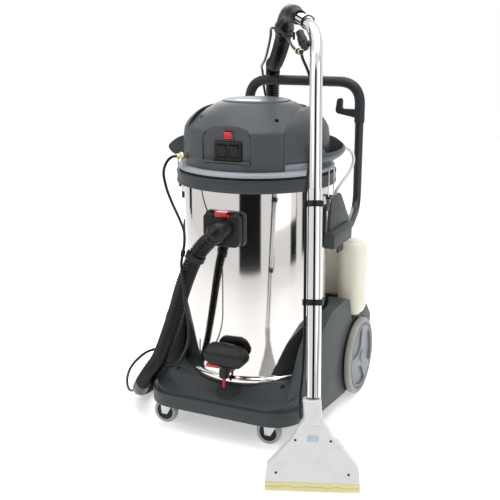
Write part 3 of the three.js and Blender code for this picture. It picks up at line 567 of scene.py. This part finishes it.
# A strap clip round the big hose carries the thin one in its ear.
hoseStrap = {"place": (-54, -300, 561), "way": (-0.35, -0.02, -0.85), "radius": 26.4, "width": 18,
             "wall": 2.2, "edge": 0.8}
strapWay = Vector(hoseStrap["way"]).normalized()
half, edge = hoseStrap["width"] / 2, hoseStrap["edge"]
inner, outer = hoseStrap["radius"] - 1.5, hoseStrap["radius"] + hoseStrap["wall"]
strapProfile = [
    (inner, -half), (outer - edge, -half), (outer, -half + edge), (outer, half - edge), (outer - edge, half),
    (inner, half), (inner, -half),
]
strapPiece = turnedPiece("hoseStrap", strapProfile, hoseStrap["place"], strapWay,
                         strapWay.orthogonal().normalized(), 48)
finishPiece(strapPiece, "blackNylon", "hose_connector")
earPath = metres([further(clipPoint, clipWay, distance) for distance in (-9, -8, -4, 0, 4, 8, 9)])
strapEar = tubeAlong("hoseStrapEar", earPath,
                     lambda d: (5.4 if d < 0.0005 or d > 0.0175 else 6.4) * millimetre, 24)
finishPiece(strapEar, "blackNylon", "hose_connector")

print("hoses done", [round(pathLength(p), 3) for p in (suctionPath, frontPath, longPath, supplyPath)])

# Drum: stainless sheet with a rolled foot, and a moulded band round its mouth
drumProfile = [
    (0, 170), (208, 170), (213, 167), (215.5, 161), (219, 158.4), (224, 158), (227, 159.6), (228, 163),
    (228, 172), (227, 175.6), (224.5, 178), (221.5, 179.4), (220.3, 181.5), (220, 186), (220, 774),
    (219.4, 775.6), (217.6, 775.6), (217, 774), (217, 186), (214, 178), (208, 173), (0, 173),
]
drumPiece = turnedPiece("drumShell", drumProfile, steps=160)
finishPiece(drumPiece, "stainlessSheet", "drum", "drum")
bandProfile = [
    (220.3, 744), (234, 739.6), (238.5, 739), (241.4, 739.8), (242.5, 742), (242.5, 744.6),
    (241.6, 745.6), (240.8, 746.6), (240.8, 768.6), (241.6, 769.6), (242.5, 770.6), (242.5, 773.4),
    (241.6, 775.2), (239.6, 776), (222, 776), (220.3, 775), (220.3, 744),
]
bandPiece = turnedPiece("drumBand", bandProfile, steps=160)
finishPiece(bandPiece, "trolleyPolypropylene", "drum_band", "drum_band")

# Head: a pale ring on a black seal, two dome covers, a disc on top
ringProfile = [
    (0, 782.2), (233, 782.2), (236, 782.8), (237, 784), (237, 790.6), (235.6, 792.6), (229, 795.8),
    (224, 796.7), (0, 796.7),
]
headRing = turnedPiece("headBase", ringProfile, steps=160)
finishPiece(headRing, "paleGreyAbs", "head_base", "head_base")
sealProfile = [
    (214, 776.4), (231.6, 776.4), (233.4, 777.8), (233.4, 780.6), (231.6, 782.1), (214, 782.1),
    (214, 776.4),
]
sealRing = turnedPiece("headSeal", sealProfile)
finishPiece(sealRing, "darkRecess", "head_base")
floatCage = turnedPiece("floatCage", [(44, 716), (49, 716), (49, 782.1), (44, 782.1), (44, 716)],
                        steps=64)
finishPiece(floatCage, "blackNylon", "head_base")

coverFoot = [(212.3, 797), (218.6, 797), (220, 798.4), (220.5, 815), (221, 850), (219.4, 880)]
frontProfile = coverFoot + [
    (216.2, 902.5), (214.6, 905.4), (206, 912.6), (196, 920), (182, 931.4), (167, 943), (151, 953.4),
    (135, 963), (126, 967.8), (118, 972), (110, 975.2), (103, 977.5), (103, 972), (132, 958), (164, 938),
    (192, 916), (209, 901), (212.3, 850), (212.3, 797),
]
rearProfile = coverFoot + [
    (216, 902.5), (214.6, 905.2), (209.5, 914.5), (203.5, 923.5), (196, 932), (187, 940), (177, 947.6),
    (166, 954), (151, 960.6), (135, 966), (120, 966.5), (120, 960), (132, 960), (163, 949), (191, 929),
    (210, 903), (212.3, 850), (212.3, 797),
]
headSizes = {"seamX": 156, "seamBend": -100, "seamRound": 147, "seamGap": 0.8, "liftEdge": -154,
             "liftTop": 820, "panelHalf": 76, "recessAngle": 43, "recessRadius": 6.5}


# The front cover ends at the sides in two nearly straight seams and passes round behind the top disc.
def seamPlan(name, shift):
    straight, around = headSizes["seamX"] + shift, headSizes["seamRound"] + shift
    bend = headSizes["seamBend"]
    arc = [(around * math.cos(math.radians(turn)), around * math.sin(math.radians(turn)), 700)
           for turn in range(0, 181, 6)]
    outline = [(straight, -300, 700), (straight - 3, bend, 700)] + arc
    outline += [(3 - straight, bend, 700), (-straight, -300, 700)]
    return pushedPlate(name, outline, (0, 0, 400))


# A plain block between two limits each way, to cut with.
def blockOf(name, x, y, z):
    outline = [(x[0], y[0], z[0]), (x[1], y[0], z[0]), (x[1], y[0], z[1]), (x[0], y[0], z[1])]
    return pushedPlate(name, outline, (0, y[1] - y[0], 0))


panelHalf = headSizes["panelHalf"]
panelOutline = [
    (-panelHalf, 818), (panelHalf, 818), (panelHalf, 884), (74, 894), (69, 904), (60, 912.5), (48, 918.5),
    (32, 922.8), (16, 925.2), (0, 926), (-16, 925.2), (-32, 922.8), (-48, 918.5), (-60, 912.5),
    (-69, 904), (-74, 894), (-panelHalf, 884),
]
frontCover = turnedPiece("headCoverFront", frontProfile, steps=160)
cutBy(frontCover, seamPlan("seamCutter", 0), "INTERSECT")
cutBy(frontCover, pushedPlate("panelCutter", [(x, -300, z) for x, z in panelOutline], (0, 104, 0)))
for turn in (headSizes["recessAngle"], -headSizes["recessAngle"]):
    radial = Vector((math.sin(math.radians(turn)), -math.cos(math.radians(turn)), 0))
    upward = (radial * 0.35 + Vector((0, 0, 1))).normalized()
    radius = headSizes["recessRadius"]
    foot = tuple(radial * 183 + Vector((0, 0, 958)))
    recess = turnedPiece("recessCutter", [(0, -40), (radius, -40), (radius, 30), (0, 30)], foot, upward,
                         radial.cross(upward).normalized(), 32)
    cutBy(frontCover, recess)
couplingSide = Vector((0.743, -0.668, 0)).normalized()
couplingHole = turnedPiece("couplingCutter", [(0, -40), (9.6, -40), (9.6, 40), (0, 40)], couplingPoint,
                           Vector(couplingAway).normalized(), couplingSide, 32)
cutBy(frontCover, couplingHole)
finishPiece(rounded(frontCover, 0.6, 2, 50, 25), "headPolypropylene", "head_cover_front", "head_cover_front")
rearCover = turnedPiece("headCoverRear", rearProfile, steps=160)
cutBy(rearCover, seamPlan("seamKeeper", headSizes["seamGap"]))
cutBy(rearCover, blockOf("liftCutter", (-300, 300), (headSizes["liftEdge"], 300),
                         (700, headSizes["liftTop"])))
finishPiece(rounded(rearCover, 0.6, 2, 50, 25), "headPolypropylene", "head_cover_rear", "head_cover_rear")

# Behind the raised edge of the rear cover the pale ring's inner wall shows, with a nearly black band of
# painted shade just under that edge.
innerRings = {
    "headInnerWall": ("paleGreyAbs", [(198, 796.8), (211.8, 796.8), (211.8, 836), (198, 836), (198, 796.8)]),
    # A nearly black band in the unlit gap under the raised edge: painted shade.
    "dustLip": ("darkRecess", [(206, 815), (211.95, 815), (211.95, 826), (206, 826), (206, 815)]),
}
for name, (finish, profile) in innerRings.items():
    innerRing = turnedPiece(name, profile)
    cutBy(innerRing, blockOf("panelRoom", (-panelHalf - 2, panelHalf + 2), (-260, -150), (790, 850)))
    finishPiece(smooth(innerRing), finish, "head_base")

discProfile = [
    (0, 964), (101, 964), (102, 965), (102, 976.4), (101.6, 978), (100.4, 979.6), (98, 981.2),
    (95, 982.4), (90, 983), (0, 983),
]
topDisc = turnedPiece("topDisc", discProfile)
finishPiece(topDisc, "headPolypropylene", "top_disc", "top_disc")


# A rectangle with a quarter circle at each corner.
def roundedOutline(x0, x1, y0, y1, radius):
    steps = 6
    corners = [(x1 - radius, y1 - radius, 0), (x0 + radius, y1 - radius, 90),
               (x0 + radius, y0 + radius, 180), (x1 - radius, y0 + radius, 270)]
    return [(x + radius * math.cos(math.radians(start + 90 * i / steps)),
             y + radius * math.sin(math.radians(start + 90 * i / steps)))
            for x, y, start in corners for i in range(steps + 1)]


plateOutline = [(x, y, 982.4) for x, y in roundedOutline(-40, 40, -82, -46, 8)]
blankPlate = pushedPlate("blankPlate", plateOutline, (0, 0, 1.2))
finishPiece(rounded(blankPlate, 0.5), "palePrint", "top_disc")

# Parts that keep their drawn shape and get rounded edges: the width in millimetres, or 0 for none
edgeRounding = {
    "trolley_base": 3, "castor_fork_right": 0.8, "castor_fork_left": 0.8, "inlet_flange": 2,
    "inlet_catch": 1.2, "tilt_lever": 1.2, "side_bracket_right": 2, "side_bracket_left": 2, "tank_cap": 1.5,
    "control_panel": 0.7, "switch_frame": 1.2, "power_rocker": 1, "vacuum_rocker": 1, "pump_rocker": 1,
    "solution_coupling": 0.7, "vacuum_motor_right": 1.5, "vacuum_motor_left": 1.5, "solution_pump": 2,
    "latch_keeper_right": 0.8, "latch_keeper_left": 0.8, "latch_lever_right": 1, "latch_lever_left": 1,
    "latch_bail_right": 0, "latch_bail_left": 0, "nozzle_lip": 1.2, "line_clip_lower": 0.8,
    "line_clip_upper": 0.8, "spray_valve": 0.8, "valve_lever": 0.7, "rear_axle": 1, "tilt_bolt": 0.8,
}
ownFinish = {"nozzle_lip": "creamNylon", "spray_valve": "blackNylon"}  # where it differs from the slot's
for node, width in edgeRounding.items():
    piece = looseCopy(node)
    if width:
        rounded(piece, width, 3)
    else:
        smooth(piece, 75)
    finishPiece(piece, ownFinish.get(node, slotFinish[slotOf[node]]), node, node)
print("moulded parts done")


# Voxel copies for parts whose corners are all soft: the grid size and how long they are smoothed
softBodies = {
    "detergent_tank": {"grid": 3.5, "rounds": 14}, "tilt_grip": {"grid": 2, "rounds": 45},
    "nozzle_body": {"grid": 1.8, "rounds": 6},
}
for node, soft in softBodies.items():
    piece = looseCopy(node)
    applied(piece, "REMESH", mode="VOXEL", voxel_size=soft["grid"] * millimetre, use_smooth_shade=True)
    applied(piece, "SMOOTH", factor=0.5, iterations=soft["rounds"])
    finishPiece(smooth(piece, 60), slotFinish[slotOf[node]], node, node)
print("soft bodies done")

# Wheels: a grey tyre round a large nylon disc with three broad shallow pockets
wheelSizes = {"radius": 128, "y": 225, "pockets": 3, "firstPocket": -40, "pocketFloor": 279,
              "pocketHalf": 41, "pocketFrom": 38, "pocketShoulder": 70, "pocketTo": 98}
tyreProfile = [
    (113, 264), (121, 263.4), (124.6, 264.2), (127.2, 266.8), (128, 270), (128, 277), (127.2, 281),
    (124.6, 284.2), (121, 285.6), (115, 286), (113, 284.8), (113, 264),
]
hubProfile = [
    (11.3, 264), (112.7, 264), (112.7, 283), (111.4, 284), (109.6, 284.2), (108.6, 283), (107.8, 281.4),
    (106.6, 281.4), (105.6, 283.4), (104, 285), (100, 285.6), (60, 284.6), (30, 284.8), (24.4, 284.6),
    (22, 283.2), (19, 283.6), (18, 286.6), (16, 288), (0, 288), (0, 276.6), (11.3, 276.6), (11.3, 264),
]
castorSizes = {"trail": 22, "x": 174, "y": -242, "radius": 37.5}
castorParts = {
    "castorTyre": {"finish": "greyRubber", "steps": 64, "profile": [
        (27, -10.8), (29, -11.5), (34, -11.4), (36.4, -10), (37.5, -7), (37.5, 7), (36.4, 10), (34, 11.4),
        (29, 11.5), (27, 10.8), (27, -10.8)]},
    "castorHub": {"finish": "blackNylon", "steps": 48, "profile": [
        (9.3, -11), (12, -11), (13, -9), (24, -8), (26.8, -10.4), (26.8, 10.4), (24, 8), (13, 9), (12, 11),
        (9.3, 11), (9.3, -11)]},
    "castorBush": {"finish": "zincPlate", "steps": 32, "profile": [
        (4.3, -11.4), (8, -11.4), (9, -10.6), (9, 10.6), (8, 11.4), (4.3, 11.4), (4.3, -11.4)]},
}


# One pocket: an arc on the outside, and narrower towards the hub. Turns are in degrees from its own middle.
def pocketOutline(side, middle):
    def rim(radius, turn):
        angle = math.radians(middle + turn)
        return (side * wheelSizes["pocketFloor"], wheelSizes["y"] + radius * math.sin(angle),
                wheelSizes["radius"] + radius * math.cos(angle))

    half, foot, shoulder = [wheelSizes[key] for key in ("pocketHalf", "pocketFrom", "pocketShoulder")]
    outside = [rim(wheelSizes["pocketTo"], turn) for turn in range(-half, half + 1, 5)]
    inside = [rim(shoulder, half - 3), rim(foot, half - 18), rim(foot, 18 - half), rim(shoulder, 3 - half)]
    return outside + inside


for side, word in ((1, "Right"), (-1, "Left")):
    ending = word.lower()
    tyreNode, hubNode, castorNode = "wheel_tyre_" + ending, "wheel_hub_" + ending, "castor_wheel_" + ending
    wheelCentre = (0, wheelSizes["y"], wheelSizes["radius"])
    tyre = turnedPiece("wheelTyre" + word, tyreProfile, wheelCentre, (side, 0, 0), (0, 0, 1))
    finishPiece(tyre, "greyRubber", tyreNode, tyreNode)
    hub = turnedPiece("wheelHub" + word, hubProfile, wheelCentre, (side, 0, 0), (0, 0, 1))
    for i in range(wheelSizes["pockets"]):
        outline = pocketOutline(side, 360 * i / wheelSizes["pockets"] + wheelSizes["firstPocket"])
        cutBy(hub, pushedPlate("pocketCutter", outline, (side * 30, 0, 0)))
    rounded(hub, 1.6, 3, 35, 35)
    finishPiece(hub, "wheelNylon", hubNode, hubNode)
    castorCentre = (side * castorSizes["x"] - castorSizes["trail"], castorSizes["y"], castorSizes["radius"])
    for name, part in castorParts.items():
        piece = turnedPiece(name + word, part["profile"], castorCentre, (0, 1, 0), (0, 0, 1), part["steps"])
        replaced = [castorNode] if name == "castorTyre" else []
        finishPiece(piece, part["finish"], castorNode, *replaced)
print("wheels done")

# Push handle: powder-coated legs, a moulded sleeve over the top, and two cable hooks
handleSizes = {"halfWidth": 200, "y": 386, "top": 1013, "sleeveEnd": 880, "legBend": 70, "sleeveBend": 75,
               "legRadius": 14, "sleeveRadius": 17, "ribPitch": 5, "ribDepth": 0.6, "ribbedHalf": 125}
halfWidth, handleY, sleeveEnd = [handleSizes[key] for key in ("halfWidth", "y", "sleeveEnd")]
for side, word in ((1, "right"), (-1, "left")):
    node = "handle_leg_" + word
    legCorners = [(side * 232, 166, 566), (side * 222, 250, 566), (side * halfWidth, handleY, 596),
                  (side * halfWidth, handleY, sleeveEnd - 0.3)]
    legPath = bentPoints(metres(legCorners), handleSizes["legBend"] * millimetre, 0.008)
    legPiece = tubeAlong(camelName(node), legPath, lambda d: handleSizes["legRadius"] * millimetre)
    finishPiece(legPiece, "blackPowderCoat", node, node)
sleeveCorners = [(-halfWidth, handleY, sleeveEnd), (-halfWidth, handleY, handleSizes["top"]),
                 (halfWidth, handleY, handleSizes["top"]), (halfWidth, handleY, sleeveEnd)]
sleevePath = bentPoints(metres(sleeveCorners), handleSizes["sleeveBend"] * millimetre, 0.001)
sleeveLength = pathLength(sleevePath)


# The sleeve is a little thinner at its open ends and finely ribbed over the middle of the bar.
def sleeveRadius(distance):
    nearEnd = min(distance, sleeveLength - distance)
    plain = handleSizes["sleeveRadius"] - (1.2 if nearEnd <= 0.0025 else 0)
    ribbed = abs(distance - sleeveLength / 2) < handleSizes["ribbedHalf"] * millimetre
    rib = 0.5 + 0.5 * math.cos(math.tau * distance / (handleSizes["ribPitch"] * millimetre))
    return (plain - (handleSizes["ribDepth"] * rib if ribbed else 0)) * millimetre


sleeve = tubeAlong("handleGrip", sleevePath, sleeveRadius, 40)
finishPiece(sleeve, "handlePolypropylene", "handle_grip", "handle_grip")
hookOutline = [
    (192, 925), (145, 925), (142, 925.8), (140.4, 928), (140, 931), (140.5, 950), (139.8, 954),
    (137.6, 957.6), (134, 959.5), (129.6, 959.4), (125.6, 957.6), (123, 954.4), (121.6, 949), (118, 922),
    (118.2, 917.6), (120.4, 913), (124, 909), (192, 896),
]
for side, word in ((1, "Right"), (-1, "Left")):
    hook = pushedPlate("cableHook" + word, [(side * x, 377, z) for x, z in hookOutline], (0, 18, 0))
    rounded(hook, 3.5, 4)
    finishPiece(hook, "handlePolypropylene", "handle_grip")
print("handle done")

# Hose inlet: a rounded block with a smooth spigot
blockOutline = roundedOutline(-50, 64, 588, 684, 18)
connector = pushedPlate("hoseConnector", [(x, -262, z) for x, z in blockOutline], (0, 25.7, 0))
cutBy(connector, blockOf("notchCutter", (-14, 34), (-270, -239), (672, 700)))
rounded(connector, 6.5, 5, 40)
finishPiece(connector, "blackNylon", "hose_connector", "hose_connector")
spigotPath = curvePoints(metres([(22, -252, 645), further(hoseStart, spigotWay, -16), hoseStart]), 0.003)
spigotLength = pathLength(spigotPath)


# One bead near the end of the spigot, and a fine chamfer at the hose. In metres.
def spigotRadius(distance):
    left = spigotLength - distance
    bead = 0.0012 if 0.006 < left < 0.012 else 0
    return 0.0276 + bead - (0.001 if left < 0.001 else 0)


finishPiece(tubeAlong("inletSpigot", spigotPath, spigotRadius, 48), "blackNylon", "hose_connector")
print("inlet done")

# Lift wings: scooped grips on both sides of the head, closed by a cheek at the front and at the rear
wingProfile = [
    (221.5, 800), (232, 806), (246, 813.6), (256, 820), (263, 827), (267.4, 834), (268, 838),
    (267.4, 842.6), (266, 844.6), (263.4, 845), (261, 843), (256.5, 837.4), (250, 831), (238, 821),
    (221.5, 812.4), (221.5, 800),
]
cheekProfile = [
    (221.5, 800), (232, 806), (246, 813.6), (256, 820), (263, 827), (267.4, 834), (268, 838),
    (266.4, 844.6), (258, 853), (246, 862), (234, 868.4), (221.5, 872), (221.5, 800),
]
wingParts = {  # where it starts and how far it goes round the head are in degrees
    "liftWing": {"profile": wingProfile, "start": -20, "sweep": 50, "steps": 40, "edge": 1.2},
    "wingFront": {"profile": cheekProfile, "start": -22.4, "sweep": 5, "steps": 6, "edge": 1.5},
    "wingRear": {"profile": cheekProfile, "start": 26.4, "sweep": 5, "steps": 6, "edge": 1.5},
}
for side, word in ((1, "Right"), (-1, "Left")):
    node = "lift_wing_" + word.lower()
    for name, part in wingParts.items():
        angle = math.radians(part["start"] if side > 0 else 180 - part["start"])
        out = (math.cos(angle), math.sin(angle), 0)
        wing = turnedPiece(name + word, part["profile"], out=out, steps=part["steps"],
                           sweep=-side * part["sweep"])
        replaced = [node] if name == "liftWing" else []
        finishPiece(rounded(wing, part["edge"], 2, 40), "headPolypropylene", node, *replaced)
print("wings done")

# Floor wand: chromed tubes, a moulded elbow, and the line that feeds the spray jet
wandRadii = {"lowerTube": 19, "upperTube": 17, "sprayLine": 3.8}
neckTop, tubeTop = Vector((356, -428, 275)), Vector((261, -200, 1108))


# A point beside the straight tube: how far along it, how far out, and how far round towards its back.
def wandPoint(share, reach=0, turn=0):
    around = math.radians(turn)
    out = Vector((-0.91, -0.42, 0)) * math.cos(around) + Vector((-0.42, 0.91, 0)) * math.sin(around)
    return tuple(neckTop.lerp(tubeTop, share) + out * reach)


cuffStart, cuffWay = (144, -34, 1217), (-0.57, 0.78, 0.13)
lowerPath = metres([wandPoint(share) for share in (-0.012, -0.01, 0.3, 0.608, 0.61)])
lowerTube = tubeAlong("wandLowerTube", lowerPath, lambda d: wandRadii["lowerTube"] * millimetre, 64)
finishPiece(lowerTube, "chromePlate", "wand_lower_tube", "wand_lower_tube")
upperRoute = [
    wandPoint(0.6103), wandPoint(0.75), wandPoint(0.88), tuple(tubeTop), (247, -167, 1156),
    (218, -125, 1190), cuffStart,
]
upperPath = curvePoints(metres(upperRoute), 0.006)
upperTube = tubeAlong("wandUpperTube", upperPath, lambda d: wandRadii["upperTube"] * millimetre, 64)
finishPiece(upperTube, "chromePlate", "wand_upper_tube", "wand_upper_tube")
elbowRoute = [
    further(cuffStart, cuffWay, 0.8), (116, 2, 1226), (88, 34, 1226), further(elbowEnd, elbowWay, -24),
    elbowEnd,
]
elbowPath = curvePoints(metres(elbowRoute), 0.003)
elbowLength = pathLength(elbowPath)


# A ring at the tube, a smooth widening, and a thicker ring at the hose. In metres.
def elbowRadius(distance):
    left = elbowLength - distance
    if distance < 0.009:
        return 0.022 if 0.001 < distance < 0.008 else 0.0205
    if left < 0.022:
        return 0.029 if left > 0.002 else 0.0272
    share = min(1, (distance - 0.009) / 0.04)
    return 0.0205 + 0.0061 * share * share * (3 - 2 * share)


finishPiece(tubeAlong("hoseElbow", elbowPath, elbowRadius, 48), "blackNylon", "hose_elbow", "hose_elbow")
# From the valve the line comes down behind the tube, and passes to its left side above the upper clip.
lineRoute = [
    (221.5, -207, 1127), (227, -213, 1114), wandPoint(0.96, 24.4, 40), wandPoint(0.88, 23, 88),
    wandPoint(0.75, 23, 80), wandPoint(0.65, 23.6, 38), wandPoint(0.6, 24.4), wandPoint(0.5, 24.4),
    wandPoint(0.38, 24.4), wandPoint(0.27, 24.4), wandPoint(0.17, 24.6), wandPoint(0.06, 29),
    (326, -447, 245), (329, -449, 207),
]
linePath = curvePoints(metres(lineRoute), 0.006)
sprayLine = tubeAlong("sprayLine", linePath, lambda d: wandRadii["sprayLine"] * millimetre, 16)
finishPiece(sprayLine, "hoseRubber", "spray_line", "spray_line")

# Two black collars on the bend of the tube, and the plated nuts on the valve
collars = {
    "tubeCollar": {"middle": (196, -97, 1203), "way": (0.62, -0.72, -0.31)},
    "cuffCollar": {"middle": (150, -41, 1216.4), "way": (0.61, -0.79, 0)},
}
collarProfile = [(17.2, -4), (19.4, -4), (20.4, -3), (20.4, 3), (19.4, 4), (17.2, 4), (17.2, -4)]
for name, place in collars.items():
    way = Vector(place["way"]).normalized()
    collar = turnedPiece(name, collarProfile, place["middle"], way, way.orthogonal().normalized(), 48)
    finishPiece(collar, "blackNylon", "wand_upper_tube")
valveNuts = {
    "hoseNut": {"end": valveFitting, "way": fittingWay, "radius": 9},
    "feedNut": {"end": (221, -206, 1128), "way": (0.484, -0.875, 0), "radius": 8},
}
for name, fitting in valveNuts.items():
    way = Vector(fitting["way"]).normalized()
    radius = fitting["radius"]
    nutProfile = [(0, -15), (radius, -15), (radius + 0.6, -14), (radius + 0.6, -6), (radius - 0.4, -5),
                  (radius - 1.4, -1), (0, -0.4)]
    nut = turnedPiece(name, nutProfile, fitting["end"], way, way.orthogonal().normalized(), 6)
    finishPiece(rounded(nut, 0.4), "nickelledBrass", "spray_valve")

# On the nozzle: four dark screws, a pale blue window and the waved edge of the lip
nozzleSizes = {
    "foot": (360, -436), "turn": 21, "face": -14.05, "screws": ((-46, 151), (46, 150), (-96, 55), (95, 55)),
    "window": (-15, 14, 147, 164), "lipHalf": 126, "lipFrom": 3, "lipTo": 14, "wave": 3,
}
turn = math.radians(nozzleSizes["turn"])
nozzleSide = Vector((math.cos(turn), math.sin(turn), 0))
nozzleBack = Vector((-math.sin(turn), math.cos(turn), 0))


# A point in the nozzle's own directions: to its side, towards its back, and up.
def onNozzle(x, y, z):
    return tuple(Vector(nozzleSizes["foot"] + (0,)) + nozzleSide * x + nozzleBack * y + Vector((0, 0, z)))


screwProfile = [(0, -2), (3.4, -2), (3.4, 0.5), (2.6, 1.1), (1.2, 1.2), (0, 0.6)]
for i, (x, z) in enumerate(nozzleSizes["screws"]):
    place = onNozzle(x, nozzleSizes["face"], z)
    screw = turnedPiece(f"nozzleScrew{i + 1}", screwProfile, place, -nozzleBack, nozzleSide, 24)
    finishPiece(screw, "darkRecess", "nozzle_body")
windowOutline = [onNozzle(x, nozzleSizes["face"], z) for x, z in roundedOutline(*nozzleSizes["window"], 3)]
window = pushedPlate("nozzleWindow", windowOutline, tuple(-nozzleBack * 0.8))
finishPiece(rounded(window, 0.3), "slateBlueWindow", "nozzle_body")
lipHalf, lipFrom = nozzleSizes["lipHalf"], nozzleSizes["lipFrom"]
lipOutline = [(-lipHalf, lipFrom), (lipHalf, lipFrom)]
for x in range(lipHalf, -lipHalf - 1, -3):
    lipOutline.append((x, nozzleSizes["lipTo"] + nozzleSizes["wave"] * math.sin(x / 8.5) * math.sin(x / 37)))
lipOutline = [onNozzle(x, -13.02, z) for x, z in lipOutline]
lipEdge = pushedPlate("nozzleLipEdge", lipOutline, tuple(-nozzleBack * 1.8))
finishPiece(rounded(lipEdge, 0.6), "creamNylon", "nozzle_lip")
print("wand done")

# Floor
bpy.ops.object.select_all(action="DESELECT")
bpy.ops.mesh.primitive_plane_add(size=14, location=(0, 0, -0.0005))
floor = bpy.context.object
floor.name = "floor"
floor.data.materials.append(surface("paintedFloor", ("#f3f3f2", "#f8f8f7"), 0.5, 3, 0.01, inputs={
    "Emission Color": linear("#ffffff"), "Emission Strength": 0.45}))
